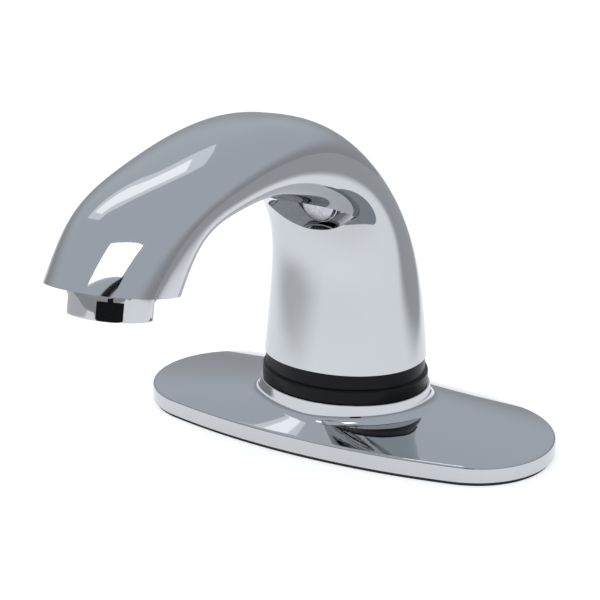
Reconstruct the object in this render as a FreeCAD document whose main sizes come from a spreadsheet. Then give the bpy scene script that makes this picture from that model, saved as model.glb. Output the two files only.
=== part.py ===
"""Sensor tap on an oval deck cover plate, built as a parametric document, in millimetres.

The origin is on the deck, on the axis of the column. X runs along the plate, the spout
points to -Y and Z is up. Every size is a cell of the sheet "Sizes"; levels and places
are expressions of those cells, so a changed size takes its neighbours with it.
"""
import FreeCAD, Part
import math
import os
import re
import Sketcher
from FreeCAD import Placement, Rotation, Vector

os.makedirs("parts", exist_ok=True)
doc = FreeCAD.newDocument("SensorTap")

# ---------------------------------------------------------------- driving sizes
SIZES = [
    ("COVER PLATE AND GASKET", None),
    ("gasket_thick", 1.5), ("gasket_inset", 1.2), ("hose_hole", 7.2),
    ("cable_hole", 4.5), ("stud_clear", 1.0),
    ("plate_length", 160.0), ("plate_width", 72.6), ("plate_end_inset", 5.8),
    ("plate_edge_height", 5.9), ("plate_edge_round", 1.5), ("plate_wall", 3.0),
    ("crown_rise", 4.6), ("pedestal_rise", 6.1), ("pedestal_spread", 1.6),
    ("pedestal_draft", 0.9), ("pedestal_round", 4.0),
    ("COLUMN OUTLINE AND BASE RING", None),
    ("column_length", 60.0), ("column_width", 52.2), ("column_end_inset", 2.1),
    ("ring_height", 10.6), ("ring_band_inset", 0.3), ("ring_lip_height", 5.2),
    ("ring_lip_overhang", 0.9), ("ring_round", 0.8),
    ("seal_inset", 0.8), ("seal_width", 1.6), ("seal_depth", 1.1),
    ("fit", 0.05),
    ("MOUNTING INSERT", None),
    ("neck_inset", 6.6), ("neck_stand", 2.4), ("flange_clear", 0.4), ("flange_thick", 7.0),
    ("stud_radius", 2.5), ("stud_spread", 13.0), ("stud_depth", 12.0),
    ("screw_radius", 2.0), ("screw_head_radius", 3.5), ("screw_head_height", 3.8),
    ("screw_edge", 4.4), ("screw_y", 7.6), ("screw_counterbore", 6.0),
    ("screw_socket", 3.0), ("screw_socket_depth", 1.9), ("screw_tip_room", 1.0),
    ("screw_grip", 6.2), ("boss_wall", 1.7), ("boss_height", 7.7),
    ("SPOUT CASTING", None),
    ("spout_wall", 2.5), ("roundness_foot", 2.1), ("roundness_arch", 2.45), ("section_points", 16.0),
    ("waist_back_y", 21.9), ("waist_back_z", 24.6), ("waist_face_y", -22.4),
    ("waist_face_z", 25.5), ("waist_half", 27.5),
    ("shoulder_back_y", 11.9), ("shoulder_back_z", 46.8), ("shoulder_face_y", -21.6),
    ("shoulder_face_z", 43.5), ("shoulder_half", 25.4),
    ("throat_back_y", -4.4), ("throat_back_z", 66.8), ("throat_face_y", -27.3),
    ("throat_face_z", 55.8), ("throat_half", 24.1),
    ("rise_back_y", -24.6), ("rise_back_z", 83.6), ("rise_face_y", -38.9),
    ("rise_face_z", 63.8), ("rise_half", 23.1),
    ("crown_back_y", -48.4), ("crown_back_z", 94.3), ("crown_face_y", -55.8),
    ("crown_face_z", 69.2), ("crown_half", 22.1),
    ("reach_back_y", -77.0), ("reach_back_z", 95.4), ("reach_face_y", -75.6),
    ("reach_face_z", 72.5), ("reach_half", 21.2),
    ("dip_back_y", -107.0), ("dip_back_z", 90.1), ("dip_face_y", -95.3),
    ("dip_face_z", 71.9), ("dip_half", 20.2),
    ("nose_back_y", -134.6), ("nose_back_z", 79.6), ("nose_face_y", -110.2),
    ("nose_face_z", 67.4), ("nose_half", 19.5),
    ("rim_y", -133.6), ("rim_z", 60.5), ("rim_tilt", 12.5), ("rim_depth", 17.4),
    ("rim_half", 18.7),
    ("SPRINGS", None),
    ("wire_sides", 4.0), ("spring_play", 0.15),
    ("WATER INLET", None),
    ("valve_screw_gap", 9.5), ("valve_y", -2.5), ("inlet_thread_radius", 4.6),
    ("inlet_thread_length", 9.0), ("inlet_across", 17.0), ("inlet_hex_height", 5.0),
    ("inlet_shank_radius", 6.0), ("inlet_bore", 3.2), ("inlet_spigot_radius", 5.0),
    ("inlet_spigot_length", 5.6), ("inlet_groove_start", 1.9), ("inlet_groove_width", 1.5),
    ("inlet_groove_depth", 1.05), ("strainer_radius", 4.1), ("strainer_thick", 0.8),
    ("strainer_seat", 2.0), ("strainer_hole", 0.5), ("strainer_pitch", 1.6),
    ("strainer_holes", 6.0),
    ("SOLENOID VALVE", None),
    ("valve_neck_radius", 6.5), ("valve_neck_height", 8.0), ("valve_side", 19.0),
    ("valve_corner", 3.0), ("valve_height", 12.0), ("valve_channel_radius", 7.4),
    ("valve_channel_depth", 6.0), ("valve_seat_width", 1.1), ("valve_port_radius", 1.6),
    ("valve_port_lift", 0.5),
    ("lobe_x", 14.5), ("lobe_y", 7.4), ("lobe_radius", 4.6), ("lobe_height", 15.0), ("lobe_step", 0.8),
    ("socket_depth", 5.0),
    ("diaphragm_radius", 8.1), ("diaphragm_thick", 1.2), ("diaphragm_boss", 2.4),
    ("diaphragm_boss_height", 0.5), ("pilot_radius", 0.5),
    ("bonnet_thick", 4.5), ("bonnet_chamber_radius", 6.0), ("bonnet_chamber_height", 1.4),
    ("guide_radius", 4.4), ("guide_height", 15.5), ("guide_roof", 1.0),
    ("guide_stud_radius", 2.0), ("guide_stud_height", 4.2),
    ("bonnet_screw_radius", 1.2), ("bonnet_screw_head", 2.1), ("bonnet_screw_rise", 1.5),
    ("bonnet_screw_depth", 7.0), ("bonnet_screw_place", 7.3),
    ("plunger_radius", 3.5), ("plunger_length", 10.4), ("plunger_gap", 0.1),
    ("plunger_tip", 2.1), ("plunger_taper", 1.4), ("plunger_pocket_radius", 2.7),
    ("plunger_pocket_depth", 3.0),
    ("plunger_spring_wire", 0.6), ("plunger_spring_radius", 2.2), ("plunger_spring_turns", 5.0),
    ("coil_radius", 9.2), ("coil_height", 14.0), ("coil_clear", 0.3), ("coil_round", 1.2),
    ("coil_nut_across", 7.0), ("coil_nut_height", 2.6),
    ("coil_nut_face", 5.25), ("coil_nut_washer", 0.65),
    ("WATERWAY", None),
    ("tube_radius", 2.5), ("tube_bore", 1.7), ("tube_bend", 14.0), ("tube_bend_share", 0.45),
    ("tube_first_rise", 19.0), ("tube_straight", 12.0),
    ("tube_side_x", 14.0), ("tube_side_y", -3.65), ("tube_side_z", 9.65),
    ("tube_corner_x", 13.8), ("tube_corner_y", 1.55), ("tube_corner_z", 7.3),
    ("tube_cross_x", 9.0), ("tube_cross_y", 1.75), ("tube_cross_z", 0.6),
    ("tube_crown_y", -1.9), ("tube_crown_z", 0.05), ("tube_reach_y", -3.275), ("tube_reach_z", 0.125),
    ("tube_plug", 3.0), ("tube_seal_thick", 1.2), ("outlet_drill", 2.0), ("drill_aim", 2.76),
    ("AERATOR", None),
    ("outlet_radius", 11.65), ("outlet_depth", 8.0), ("chamber_radius", 8.5),
    ("chamber_depth", 4.6), ("washer_thick", 1.5), ("washer_inner", 8.6), ("washer_slack", 0.2),
    ("collar_radius", 12.1), ("collar_height", 7.2), ("collar_gap", 0.4),
    ("collar_bevel", 0.6), ("aerator_bore", 10.2), ("aerator_lip", 9.2),
    ("aerator_lip_height", 1.4), ("flat_depth", 0.65), ("flat_height", 5.4),
    ("flat_count", 4.0), ("flat_angle", 36.0),
    ("regulator_thick", 2.4), ("regulator_slot", 1.1), ("regulator_ring", 5.4),
    ("regulator_holes", 8.0), ("mixer_height", 4.6), ("mixer_core", 5.6), ("mixer_wall", 1.2),
    ("mixer_nose", 3.2), ("screen_edge", 0.525),
    ("screen_thick", 3.2), ("screen_hole", 1.05), ("screen_pitch", 2.9), ("stack_gap", 0.3),
    ("BUTTON IN THE THROAT", None),
    ("button_y", -17.6), ("button_z", 59.4), ("button_pitch", 10.0),
    ("pocket_half", 16.5), ("pocket_above", 7.6), ("pocket_below", 7.5),
    ("pocket_wall", 1.9), ("pocket_reach", 30.0),
    ("bezel_radius", 7.1), ("bezel_inner", 6.4), ("bezel_flange", 0.6), ("bezel_rim", 1.2),
    ("bezel_sleeve", 5.0), ("bezel_seal_thick", 0.5), ("bezel_floor", 1.5),
    ("cap_radius", 6.1), ("cap_thick", 1.4), ("cap_crown", 0.35), ("cap_stem", 1.5),
    ("cap_spring_room", 3.8), ("cap_bevel", 0.4), ("cap_shoulder", 3.05),
    ("cap_shoulder_rise", 0.2625),
    ("button_travel", 1.0), ("button_spring_wire", 0.5), ("button_spring_radius", 2.9),
    ("button_spring_turns", 4.0),
    ("clip_thick", 0.3), ("clip_radius", 2.9), ("clip_gap", 0.05), ("stem_tail", 0.2),
    ("sleeve_proud", 0.2), ("bracket_rim", 1.2),
    ("nut_thick", 1.6), ("nut_across", 12.0),
    ("bracket_thick", 0.6), ("bracket_half", 7.0), ("bracket_width", 8.0),
    ("switch_side", 6.2), ("switch_thick", 2.9), ("switch_pin_radius", 1.3),
    ("switch_pin_length", 2.0), ("switch_gap", 0.1),
    ("SENSOR MODULE", None),
    ("module_x", 11.4), ("module_y", -7.0), ("module_length", 16.0), ("module_width", 13.0),
    ("module_lift", 9.3), ("module_height", 27.0), ("module_wall", 1.4), ("module_round", 1.2),
    ("foot_length", 9.0), ("foot_width", 9.0), ("board_thick", 1.6), ("lid_thick", 1.2),
    ("contact_thick", 0.5), ("contact_width", 6.0), ("lid_slack", 0.2), ("chip_share", 0.4),
    ("chip_low", 0.25), ("chip_middle", 0.55), ("chip_high", 0.8),
    ("gland_x", 9.5), ("gland_y", -4.2), ("gland_radius", 4.2), ("gland_head_radius", 6.2),
    ("gland_head_height", 3.0), ("gland_bore", 3.0), ("gland_length", 18.0),
    ("grommet_bore", 1.9), ("grommet_length", 9.0),
]
NAMES = {name for name, value in SIZES if value is not None}
NEAR = 1e-4
HEXAGON = 6

sheet = doc.addObject("Spreadsheet::Sheet", "Sizes")
for row, (name, value) in enumerate(SIZES, start=1):
    sheet.set(f"A{row}", name)
    if value is not None:
        sheet.set(f"B{row}", str(value))
        sheet.setAlias(f"B{row}", name)
doc.recompute()


# ---------------------------------------------------------------- ways of working
def bound(text):
    """Writes an expression of size names as one of cells of the sheet."""
    return re.sub(r"[a-z]\w*", lambda word: "Sizes." + word[0] if word[0] in NAMES else word[0], text)


def mm(text):
    """The value of an expression of size names."""
    return float(sheet.evalExpression(bound(text)))


def place(piece, x="0", y="0", z="0", about_x=None):
    """Binds a piece's placement: its origin, and its turn about the X axis."""
    piece.Placement = Placement(Vector(0, 0, 0), Rotation(Vector(1, 0, 0), mm(about_x or "0")))
    for axis, text in (("x", x), ("y", y), ("z", z)):
        piece.setExpression(f"Placement.Base.{axis}", bound(text))
    if about_x:
        piece.setExpression("Placement.Rotation.Angle", bound(about_x))
    return piece


def plane_of(body, role):
    """One of the origin planes of a body."""
    return next(feature for feature in body.Origin.OriginFeatures if feature.Role == role)


def sketch_on(body, role, name):
    """A new sketch on one of the body's own origin planes."""
    sketch = body.newObject("Sketcher::SketchObject", name)
    sketch.AttachmentSupport = [(plane_of(body, role), "")]
    sketch.MapMode = "FlatFace"
    return sketch


def pin(sketch, kind, line, text):
    """Dimensions the start of a line from the sketch's origin by an expression."""
    value = mm(text)
    if abs(value) < NEAR:
        axis = -2 if kind == "DistanceX" else -1
        sketch.addConstraint(Sketcher.Constraint("PointOnObject", line, 1, axis))
        return
    ends = (-1, 1, line, 1) if value > 0 else (line, 1, -1, 1)
    index = sketch.addConstraint(Sketcher.Constraint(kind, *ends, abs(value)))
    sketch.setExpression(f"Constraints[{index}]", bound(text if value > 0 else f"-({text})"))


def outline_sketch(body, role, name, corners):
    """A closed outline of straight lines, each corner dimensioned by two expressions."""
    sketch = sketch_on(body, role, name)
    points = [Vector(mm(across), mm(along), 0) for across, along in corners]
    for index, point in enumerate(points):
        sketch.addGeometry(Part.LineSegment(point, points[(index + 1) % len(points)]), False)
    for index in range(len(points)):
        after = (index + 1) % len(points)
        sketch.addConstraint(Sketcher.Constraint("Coincident", index, 2, after, 1))
    for index, (across, along) in enumerate(corners):
        pin(sketch, "DistanceX", index, across)
        pin(sketch, "DistanceY", index, along)
    return sketch


def turned(label, profile):
    """A turned piece: corners of (radius, height), revolved about the piece's own Z axis."""
    body = doc.addObject("PartDesign::Body", label)
    sketch = outline_sketch(body, "XZ_Plane", label + "_profile", profile)
    turn = body.newObject("PartDesign::Revolution", label + "_turn")
    turn.Profile = sketch
    turn.ReferenceAxis = (sketch, ["V_Axis"])
    turn.Angle = 360
    body.Tip = turn
    return body


def tube(inner, outer, foot, head):
    """The profile of a plain ring for turned()."""
    return [(inner, foot), (outer, foot), (outer, head), (inner, head)]


def repeat_cut(body, cut, sketch, count):
    """Repeats a cut round the axis, and stops the build unless each copy takes as much."""
    repeat = body.newObject("PartDesign::PolarPattern", cut.Name + "_repeat")
    repeat.Originals = [cut]
    repeat.Axis = (sketch, ["N_Axis"])
    repeat.Angle = 360
    repeat.Occurrences = int(mm(count))
    body.Tip = repeat
    doc.recompute()
    whole = cut.BaseFeature.Shape.Volume
    once, taken = whole - cut.Shape.Volume, whole - repeat.Shape.Volume
    if once < NEAR or abs(taken - once * mm(count)) > NEAR * taken:
        raise RuntimeError(f"{cut.Name} took {once:.3f} once and {taken:.3f} in all")
    return body


def drill_ring(body, radius, ring, count):
    """Drills one hole through a turned body and repeats it round the axis."""
    sketch = sketch_on(body, "XY_Plane", body.Label + "_hole")
    sketch.addGeometry(Part.Circle(Vector(mm(ring), 0, 0), Vector(0, 0, 1), mm(radius)), False)
    sketch.addConstraint(Sketcher.Constraint("PointOnObject", 0, 3, -1))
    pitch = sketch.addConstraint(Sketcher.Constraint("DistanceX", -1, 1, 0, 3, mm(ring)))
    sketch.setExpression(f"Constraints[{pitch}]", bound(ring))
    size = sketch.addConstraint(Sketcher.Constraint("Radius", 0, mm(radius)))
    sketch.setExpression(f"Constraints[{size}]", bound(radius))
    hole = body.newObject("PartDesign::Pocket", body.Label + "_drill")
    hole.Profile = sketch
    hole.Type = "ThroughAll"
    hole.Midplane = True
    return repeat_cut(body, hole, sketch, count)


def made(label, shape):
    """A piece whose shape is worked out from the sheet by solid operations."""
    piece = doc.addObject("Part::Feature", label)
    piece.Shape = shape
    return piece


def cylinder(radius, foot, head, x="0", y="0"):
    """An upright cylinder between two levels."""
    return Part.makeCylinder(mm(radius), mm(f"({head}) - ({foot})"), Vector(mm(x), mm(y), mm(foot)))


def block(length, width, foot, head, x="0", y="0", corner=None):
    """An upright block centred on x, y, with its upright edges rounded if asked."""
    corner_point = Vector(mm(f"({x}) - ({length}) / 2"), mm(f"({y}) - ({width}) / 2"), mm(foot))
    solid = Part.makeBox(mm(length), mm(width), mm(f"({head}) - ({foot})"), corner_point)
    if corner:
        upright = [edge for edge in solid.Edges
                   if edge.BoundBox.XLength < NEAR and edge.BoundBox.YLength < NEAR]
        solid = solid.makeFillet(mm(corner), upright)
    return solid


def hexagon(across, foot, head, x="0", y="0"):
    """An upright hexagonal prism of a given width across flats."""
    reach = mm(across) / (2 * math.cos(math.pi / HEXAGON))
    turns = [2 * math.pi * index / HEXAGON for index in range(HEXAGON + 1)]
    ring = [Vector(mm(x) + reach * math.cos(turn), mm(y) + reach * math.sin(turn), mm(foot))
            for turn in turns]
    return Part.Face(Part.makePolygon(ring)).extrude(Vector(0, 0, mm(f"({head}) - ({foot})")))


def oval(length, width, end_inset, offset, level):
    """A four-arc oval grown outwards by an offset: two end arcs, of a radius end_inset under
    width/2, joined by two flatter arcs. Each flat arc is tangent to both ends:
    centre_x^2 + (flat - width/2)^2 = (flat - end)^2."""
    half, rise = mm(length) / 2, mm(width) / 2
    end = rise - mm(end_inset)
    centre = half - end
    flat = (centre ** 2 + rise ** 2 - end ** 2) / (2 * (rise - end))
    lean = math.atan2(centre, flat - rise)
    grow, z = mm(offset), mm(level)

    def at(side_x, side_y, angle):
        radius = end + grow
        return Vector(side_x * (centre + radius * math.sin(angle)), side_y * radius * math.cos(angle), z)

    arcs = []
    for side in (1, -1):
        crest = Vector(0, side * (rise + grow), z)
        arcs.append(Part.Arc(at(-side, side, lean), crest, at(side, side, lean)).toShape())
        tip = Vector(side * (half + grow), 0, z)
        arcs.append(Part.Arc(at(side, side, lean), tip, at(side, -side, lean)).toShape())
    return Part.Wire(Part.__sortEdges__(arcs))


def plate_oval(offset, level):
    return oval("plate_length", "plate_width", "plate_end_inset", offset, level)


def column_oval(offset, level):
    return oval("column_length", "column_width", "column_end_inset", offset, level)


def slab(outline, offset, foot, head):
    """A flat slab of an oval outline between two levels."""
    return Part.Face(outline(offset, foot)).extrude(Vector(0, 0, mm(f"({head}) - ({foot})")))


def between(lower, upper):
    """A straight-sided solid from one outline to another."""
    return Part.makeLoft([lower, upper], True, True)


def edges_at(solid, level):
    """The edges that lie flat at one level."""
    return [edge for edge in solid.Edges
            if abs(edge.BoundBox.ZMin - level) < NEAR and abs(edge.BoundBox.ZMax - level) < NEAR]


def coil(wire_radius, radius, turns, foot, head):
    """A compression spring: a flat-sided wire swept along a helix between two levels."""
    thick, reach, count = mm(wire_radius), mm(radius), mm(turns)
    height = mm(f"({head}) - ({foot})") - 2 * thick
    along = Vector(0, 2 * math.pi * reach, height / count).normalize()
    outward = Vector(1, 0, 0)
    upward = outward.cross(along)
    sides = int(mm("wire_sides"))
    corners = []
    for index in range(sides):
        turn = 2 * math.pi * (index + 0.5) / sides
        corners.append(outward * (reach + thick * math.cos(turn)) + upward * (thick * math.sin(turn)))
    helix = Part.Wire(Part.makeHelix(height / count, height, reach))
    spring = helix.makePipeShell([Part.makePolygon(corners + corners[:1])], True, True)
    spring.translate(Vector(0, 0, mm(foot) + thick))
    return spring


# ---------------------------------------------------------------- levels above the deck
PLATE_FOOT = "(gasket_thick)"
PLATE_EDGE = f"({PLATE_FOOT} + plate_edge_height)"
PEDESTAL_FOOT = f"({PLATE_EDGE} + crown_rise)"
RING_FOOT = f"({PEDESTAL_FOOT} + pedestal_rise)"
RING_LIP = f"({RING_FOOT} + ring_lip_height)"
SPOUT_FOOT = f"({RING_FOOT} + ring_height)"
FLANGE_HEAD = f"({RING_FOOT} - plate_wall)"
FLANGE_FOOT = f"({FLANGE_HEAD} - flange_thick)"
NECK_HEAD = f"({SPOUT_FOOT} + neck_stand)"
VALVE_BLOCK = f"({NECK_HEAD} + valve_neck_height)"
VALVE_HEAD = f"({VALVE_BLOCK} + valve_height)"
BONNET_HEAD = f"({VALVE_HEAD} + bonnet_thick)"
GUIDE_HEAD = f"({BONNET_HEAD} + guide_height)"
COIL_FOOT = f"({BONNET_HEAD} + bonnet_screw_rise + coil_clear)"
COIL_HEAD = f"({COIL_FOOT} + coil_height)"

# ---------------------------------------------------------------- places along X
SCREW_X = "(column_length / 2 - neck_inset - screw_edge)"
VALVE_X = f"(valve_screw_gap - {SCREW_X})"


# ---------------------------------------------------------------- cover plate and gasket
def make_deck_gasket():
    """The foam sheet under the plate, pierced for the studs, the hose and the cable."""
    sheet_of_foam = slab(plate_oval, "-gasket_inset", "0", PLATE_FOOT)
    holes = [cylinder("hose_hole", "0", PLATE_FOOT, VALVE_X, "valve_y"),
             cylinder("cable_hole", "0", PLATE_FOOT, "gland_x", "gland_y")]
    for side in ("stud_spread", "-stud_spread"):
        holes.append(cylinder("stud_radius + stud_clear", "0", PLATE_FOOT, "0", side))
    return made("deck_gasket", sheet_of_foam.cut(holes))


def make_deck_plate():
    """A hollow oval cover: an upright edge, a crowned top and a filleted pedestal."""
    edge = slab(plate_oval, "0", PLATE_FOOT, PLATE_EDGE)
    crown = between(plate_oval("0", PLATE_EDGE),
                    column_oval("pedestal_spread + pedestal_draft", PEDESTAL_FOOT))
    pedestal = between(column_oval("pedestal_spread + pedestal_draft", PEDESTAL_FOOT),
                       column_oval("pedestal_spread", RING_FOOT))
    outside = edge.fuse([crown, pedestal]).removeSplitter()
    outside = outside.makeFillet(mm("plate_edge_round"), edges_at(outside, mm(PLATE_EDGE)))
    outside = outside.makeFillet(mm("pedestal_round"), edges_at(outside, mm(PEDESTAL_FOOT)))
    roof = f"({PEDESTAL_FOOT} - plate_wall)"
    hollow = slab(plate_oval, "-plate_wall", PLATE_FOOT, f"{PLATE_EDGE} - plate_wall").fuse([
        between(plate_oval("-plate_wall", f"{PLATE_EDGE} - plate_wall"),
                column_oval("pedestal_spread - plate_wall", roof)),
        slab(column_oval, "pedestal_spread - plate_wall", roof, FLANGE_HEAD)])
    opening = slab(column_oval, "fit - neck_inset", PLATE_FOOT, RING_FOOT)
    return made("deck_plate", outside.cut([hollow, opening]))


# ---------------------------------------------------------------- base ring and its seals
def seal_strip(foot, head, slack="0"):
    """A flat seal that follows the column outline just inside its edge."""
    outer = slab(column_oval, f"-seal_inset + {slack}", foot, head)
    inner = slab(column_oval, f"-seal_inset - seal_width - {slack}", foot, head)
    return outer.cut(inner)


def make_base_ring():
    """The black isolating ring: a band flush with the column above a wider lip."""
    band = slab(column_oval, "-ring_band_inset", RING_FOOT, SPOUT_FOOT)
    lip = slab(column_oval, "ring_lip_overhang", RING_FOOT, RING_LIP)
    lip = lip.makeFillet(mm("ring_round"), edges_at(lip, mm(RING_LIP)))
    bore = slab(column_oval, "fit - neck_inset", RING_FOOT, SPOUT_FOOT)
    grooves = [seal_strip(RING_FOOT, f"{RING_FOOT} + seal_depth", "fit"),
               seal_strip(f"{SPOUT_FOOT} - seal_depth", SPOUT_FOOT, "fit")]
    return made("base_ring", band.fuse(lip).cut([bore] + grooves))


def make_ring_seals():
    """A seal in the foot of the ring, on the plate, and one in its head, under the spout."""
    made("ring_foot_seal", seal_strip(RING_FOOT, f"{RING_FOOT} + seal_depth"))
    made("ring_head_seal", seal_strip(f"{SPOUT_FOOT} - seal_depth", SPOUT_FOOT))


# ---------------------------------------------------------------- mounting insert
SCREW_SEAT = f"({FLANGE_FOOT} + screw_counterbore)"


def screw_places():
    """The four clamping screws, as expressions of x and y."""
    return [(f"{right} * {SCREW_X}", f"{back} * screw_y") for right in (1, -1) for back in (1, -1)]


def make_base_insert():
    """The casting that clamps plate, ring and spout: its flange pulls on the pedestal from
    below and its neck locates the plate and the ring."""
    solid = slab(column_oval, "pedestal_spread - plate_wall - flange_clear", FLANGE_FOOT, FLANGE_HEAD)
    solid = solid.fuse(slab(column_oval, "-neck_inset", FLANGE_HEAD, NECK_HEAD))
    tools = [cylinder("inlet_shank_radius", FLANGE_FOOT, NECK_HEAD, VALVE_X, "valve_y"),
             cylinder("gland_radius", FLANGE_FOOT, NECK_HEAD, "gland_x", "gland_y")]
    for side in ("stud_spread", "-stud_spread"):
        tools.append(cylinder("stud_radius", FLANGE_FOOT, f"{FLANGE_FOOT} + stud_depth", "0", side))
    for x, y in screw_places():
        tools.append(cylinder("screw_radius + fit", FLANGE_FOOT, NECK_HEAD, x, y))
        tools.append(cylinder("screw_head_radius + fit", FLANGE_FOOT, SCREW_SEAT, x, y))
    return made("base_insert", solid.cut(tools))


def make_clamp_screws():
    """Four machine screws from below, through the insert into the spout's bosses."""
    screws = []
    for x, y in screw_places():
        foot = f"({SCREW_SEAT} - screw_head_height)"
        head = cylinder("screw_head_radius", foot, SCREW_SEAT, x, y)
        socket = hexagon("screw_socket", foot, f"{foot} + screw_socket_depth", x, y)
        shank = cylinder("screw_radius", SCREW_SEAT, f"{NECK_HEAD} + screw_grip", x, y)
        screws.append(head.cut(socket).fuse(shank).removeSplitter())
    return made("clamp_screws", Part.makeCompound(screws))


# ---------------------------------------------------------------- spout casting
STATIONS = ["waist", "shoulder", "throat", "rise", "crown", "reach", "dip", "nose"]


def station(name):
    """The back and face points of one station of the casting."""
    foot = mm(SPOUT_FOOT)
    return (Vector(0, mm(name + "_back_y"), foot + mm(name + "_back_z")),
            Vector(0, mm(name + "_face_y"), foot + mm(name + "_face_z")))


def middle_of(name):
    """The middle of one station of the casting."""
    back, face = station(name)
    return (back + face) * 0.5


def section_curve(back, face, half, roundness):
    """A closed section between a back point and a face point of the side view. Its outline
    is |x / half|^n + |h / depth|^n = 1, which is an ellipse at n = 2 and squarer above."""
    middle, depth = (back + face) * 0.5, (back - face) * 0.5
    points, steps = [], int(mm("section_points"))
    for step in range(steps):
        turn = 2 * math.pi * step / steps
        across, along = [math.copysign(abs(part) ** (2 / roundness), part)
                         for part in (math.cos(turn), math.sin(turn))]
        points.append(middle + Vector(half * across, 0, 0) + depth * along)
    curve = Part.BSplineCurve()
    curve.interpolate(points, PeriodicFlag=True, Parameters=[float(step) for step in range(steps + 1)])
    return curve


def spout_sections(inset):
    """The sections of the casting from its foot to its rim, moved inwards by an inset."""
    below = mm(SPOUT_FOOT) - inset
    side = mm("column_width / 2")
    ends = [(Vector(0, side, below), Vector(0, -side, below), mm("column_length / 2"))]
    ends += [(*station(name), mm(name + "_half")) for name in STATIONS]
    tilt = math.radians(mm("rim_tilt"))
    centre = Vector(0, mm("rim_y"), mm(f"{SPOUT_FOOT} + rim_z"))
    reach = Vector(0, -math.cos(tilt), math.sin(tilt)) * mm("rim_depth")
    ends.append((centre + reach, centre - reach, mm("rim_half")))
    curves = []
    for index, (back, face, half) in enumerate(ends):
        share = math.sin(math.pi * index / (len(ends) - 1))
        roundness = mm("roundness_foot") + (mm("roundness_arch") - mm("roundness_foot")) * share
        inward = (back - face).normalize() * inset
        curves.append(section_curve(back - inward, face + inward, half - inset, roundness))
    return curves


def skinned(curves):
    """A solid skinned over closed sections: each row of their poles is joined by a smooth
    guide, and the guides' poles make one surface, closed by a flat face at each end."""
    rows = [curve.getPoles() for curve in curves]
    centres = [sum(row, Vector()) * (1 / len(row)) for row in rows]
    stations = [0.0]
    for before, after in zip(centres, centres[1:]):
        stations.append(stations[-1] + (after - before).Length)
    guides = []
    for row in zip(*rows):
        guide = Part.BSplineCurve()
        guide.interpolate(list(row), Parameters=stations)
        guides.append(guide)
    surface = Part.BSplineSurface()
    surface.buildFromPolesMultsKnots(
        [guide.getPoles() for guide in guides], curves[0].getMultiplicities(),
        guides[0].getMultiplicities(), curves[0].getKnots(), guides[0].getKnots(), True, False,
        curves[0].Degree, guides[0].Degree)
    ends = [Part.Face(Part.Wire(curve.toShape())) for curve in (curves[0], curves[-1])]
    shell = Part.Shell([surface.toShape()] + ends)
    shell.sewShape()
    solid = Part.Solid(Part.Shell(shell.Faces))
    if solid.Volume < 0:
        solid.reverse()
    return solid


def outlet_frame():
    """Origin at the middle of the rim, Z along the jet."""
    centre = Vector(0, mm("rim_y"), mm(f"{SPOUT_FOOT} + rim_z"))
    return Placement(centre, Rotation(Vector(1, 0, 0), mm("180 - rim_tilt")))


def button_frame():
    """Origin in the middle of the pocket's floor, Z out of the floor."""
    centre = Vector(0, mm("button_y"), mm(f"{SPOUT_FOOT} + button_z"))
    return Placement(centre, Rotation(Vector(1, 0, 0), mm("90 + button_pitch")))


def in_frame(solid, frame):
    """A copy of a solid, moved from a local frame into the tap's."""
    moved = solid.copy()
    moved.Placement = frame
    return moved


def pocket_prism(grow, foot, head):
    """The eye-shaped pocket round the button: two arcs that meet at its corners."""
    side, level = mm(f"pocket_half + {grow}"), mm(foot)
    top = Vector(0, mm(f"pocket_above + {grow}"), level)
    bottom = Vector(0, -mm(f"pocket_below + {grow}"), level)
    left, right = Vector(-side, 0, level), Vector(side, 0, level)
    wire = Part.Wire([Part.Arc(left, top, right).toShape(), Part.Arc(right, bottom, left).toShape()])
    return Part.Face(wire).extrude(Vector(0, 0, mm(f"({head}) - ({foot})")))


def tube_end():
    """Where the waterway tube meets the nose, its direction there and the way left to the
    chamber over the aerator."""
    seat = middle_of("nose")
    way = outlet_frame().multVec(Vector(0, 0, -mm("outlet_depth + drill_aim"))) - seat
    length = way.Length
    return seat, way.normalize(), length


def make_spout_body():
    """The hollow casting: column, arch and nose in one, open at the foot."""
    outside = skinned(spout_sections(0))
    inside = skinned(spout_sections(mm("spout_wall"))[:-1])
    solid = outside.cut(inside)
    button, outlet = button_frame(), outlet_frame()
    backing = in_frame(pocket_prism("pocket_wall", "-pocket_wall", "pocket_reach"), button)
    bosses = []
    for x, y in screw_places():
        head = f"{NECK_HEAD} + boss_height"
        wall = f"{x} / {SCREW_X} * column_length / 2"
        bosses += [cylinder("screw_radius + boss_wall", NECK_HEAD, head, x, y),
                   block(f"column_length / 2 - {SCREW_X}", "(screw_radius + boss_wall) * 2",
                         NECK_HEAD, head, f"({x} + {wall}) / 2", y)]
    solid = solid.fuse([outside.common(backing), outside.common(bosses[0].fuse(bosses[1:]))])
    seat, along, way = tube_end()
    tools = [in_frame(pocket_prism("0", "0", "pocket_reach"), button),
             in_frame(cylinder("bezel_sleeve + fit", "-pocket_wall * 2", "pocket_wall"), button),
             in_frame(cylinder("outlet_radius", "-outlet_depth", "outlet_depth"), outlet),
             in_frame(cylinder("chamber_radius", "-outlet_depth - chamber_depth", "0"), outlet),
             Part.makeCylinder(mm("outlet_drill"), way, seat, along),
             Part.makeCylinder(mm("tube_radius + fit"), 2 * mm("tube_plug"),
                               seat - along * mm("tube_plug"), along)]
    for x, y in screw_places():
        tools.append(cylinder("screw_radius + fit / 2", NECK_HEAD,
                              f"{NECK_HEAD} + screw_grip + screw_tip_room", x, y))
    return made("spout_body", solid.cut(tools).removeSplitter())


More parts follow.
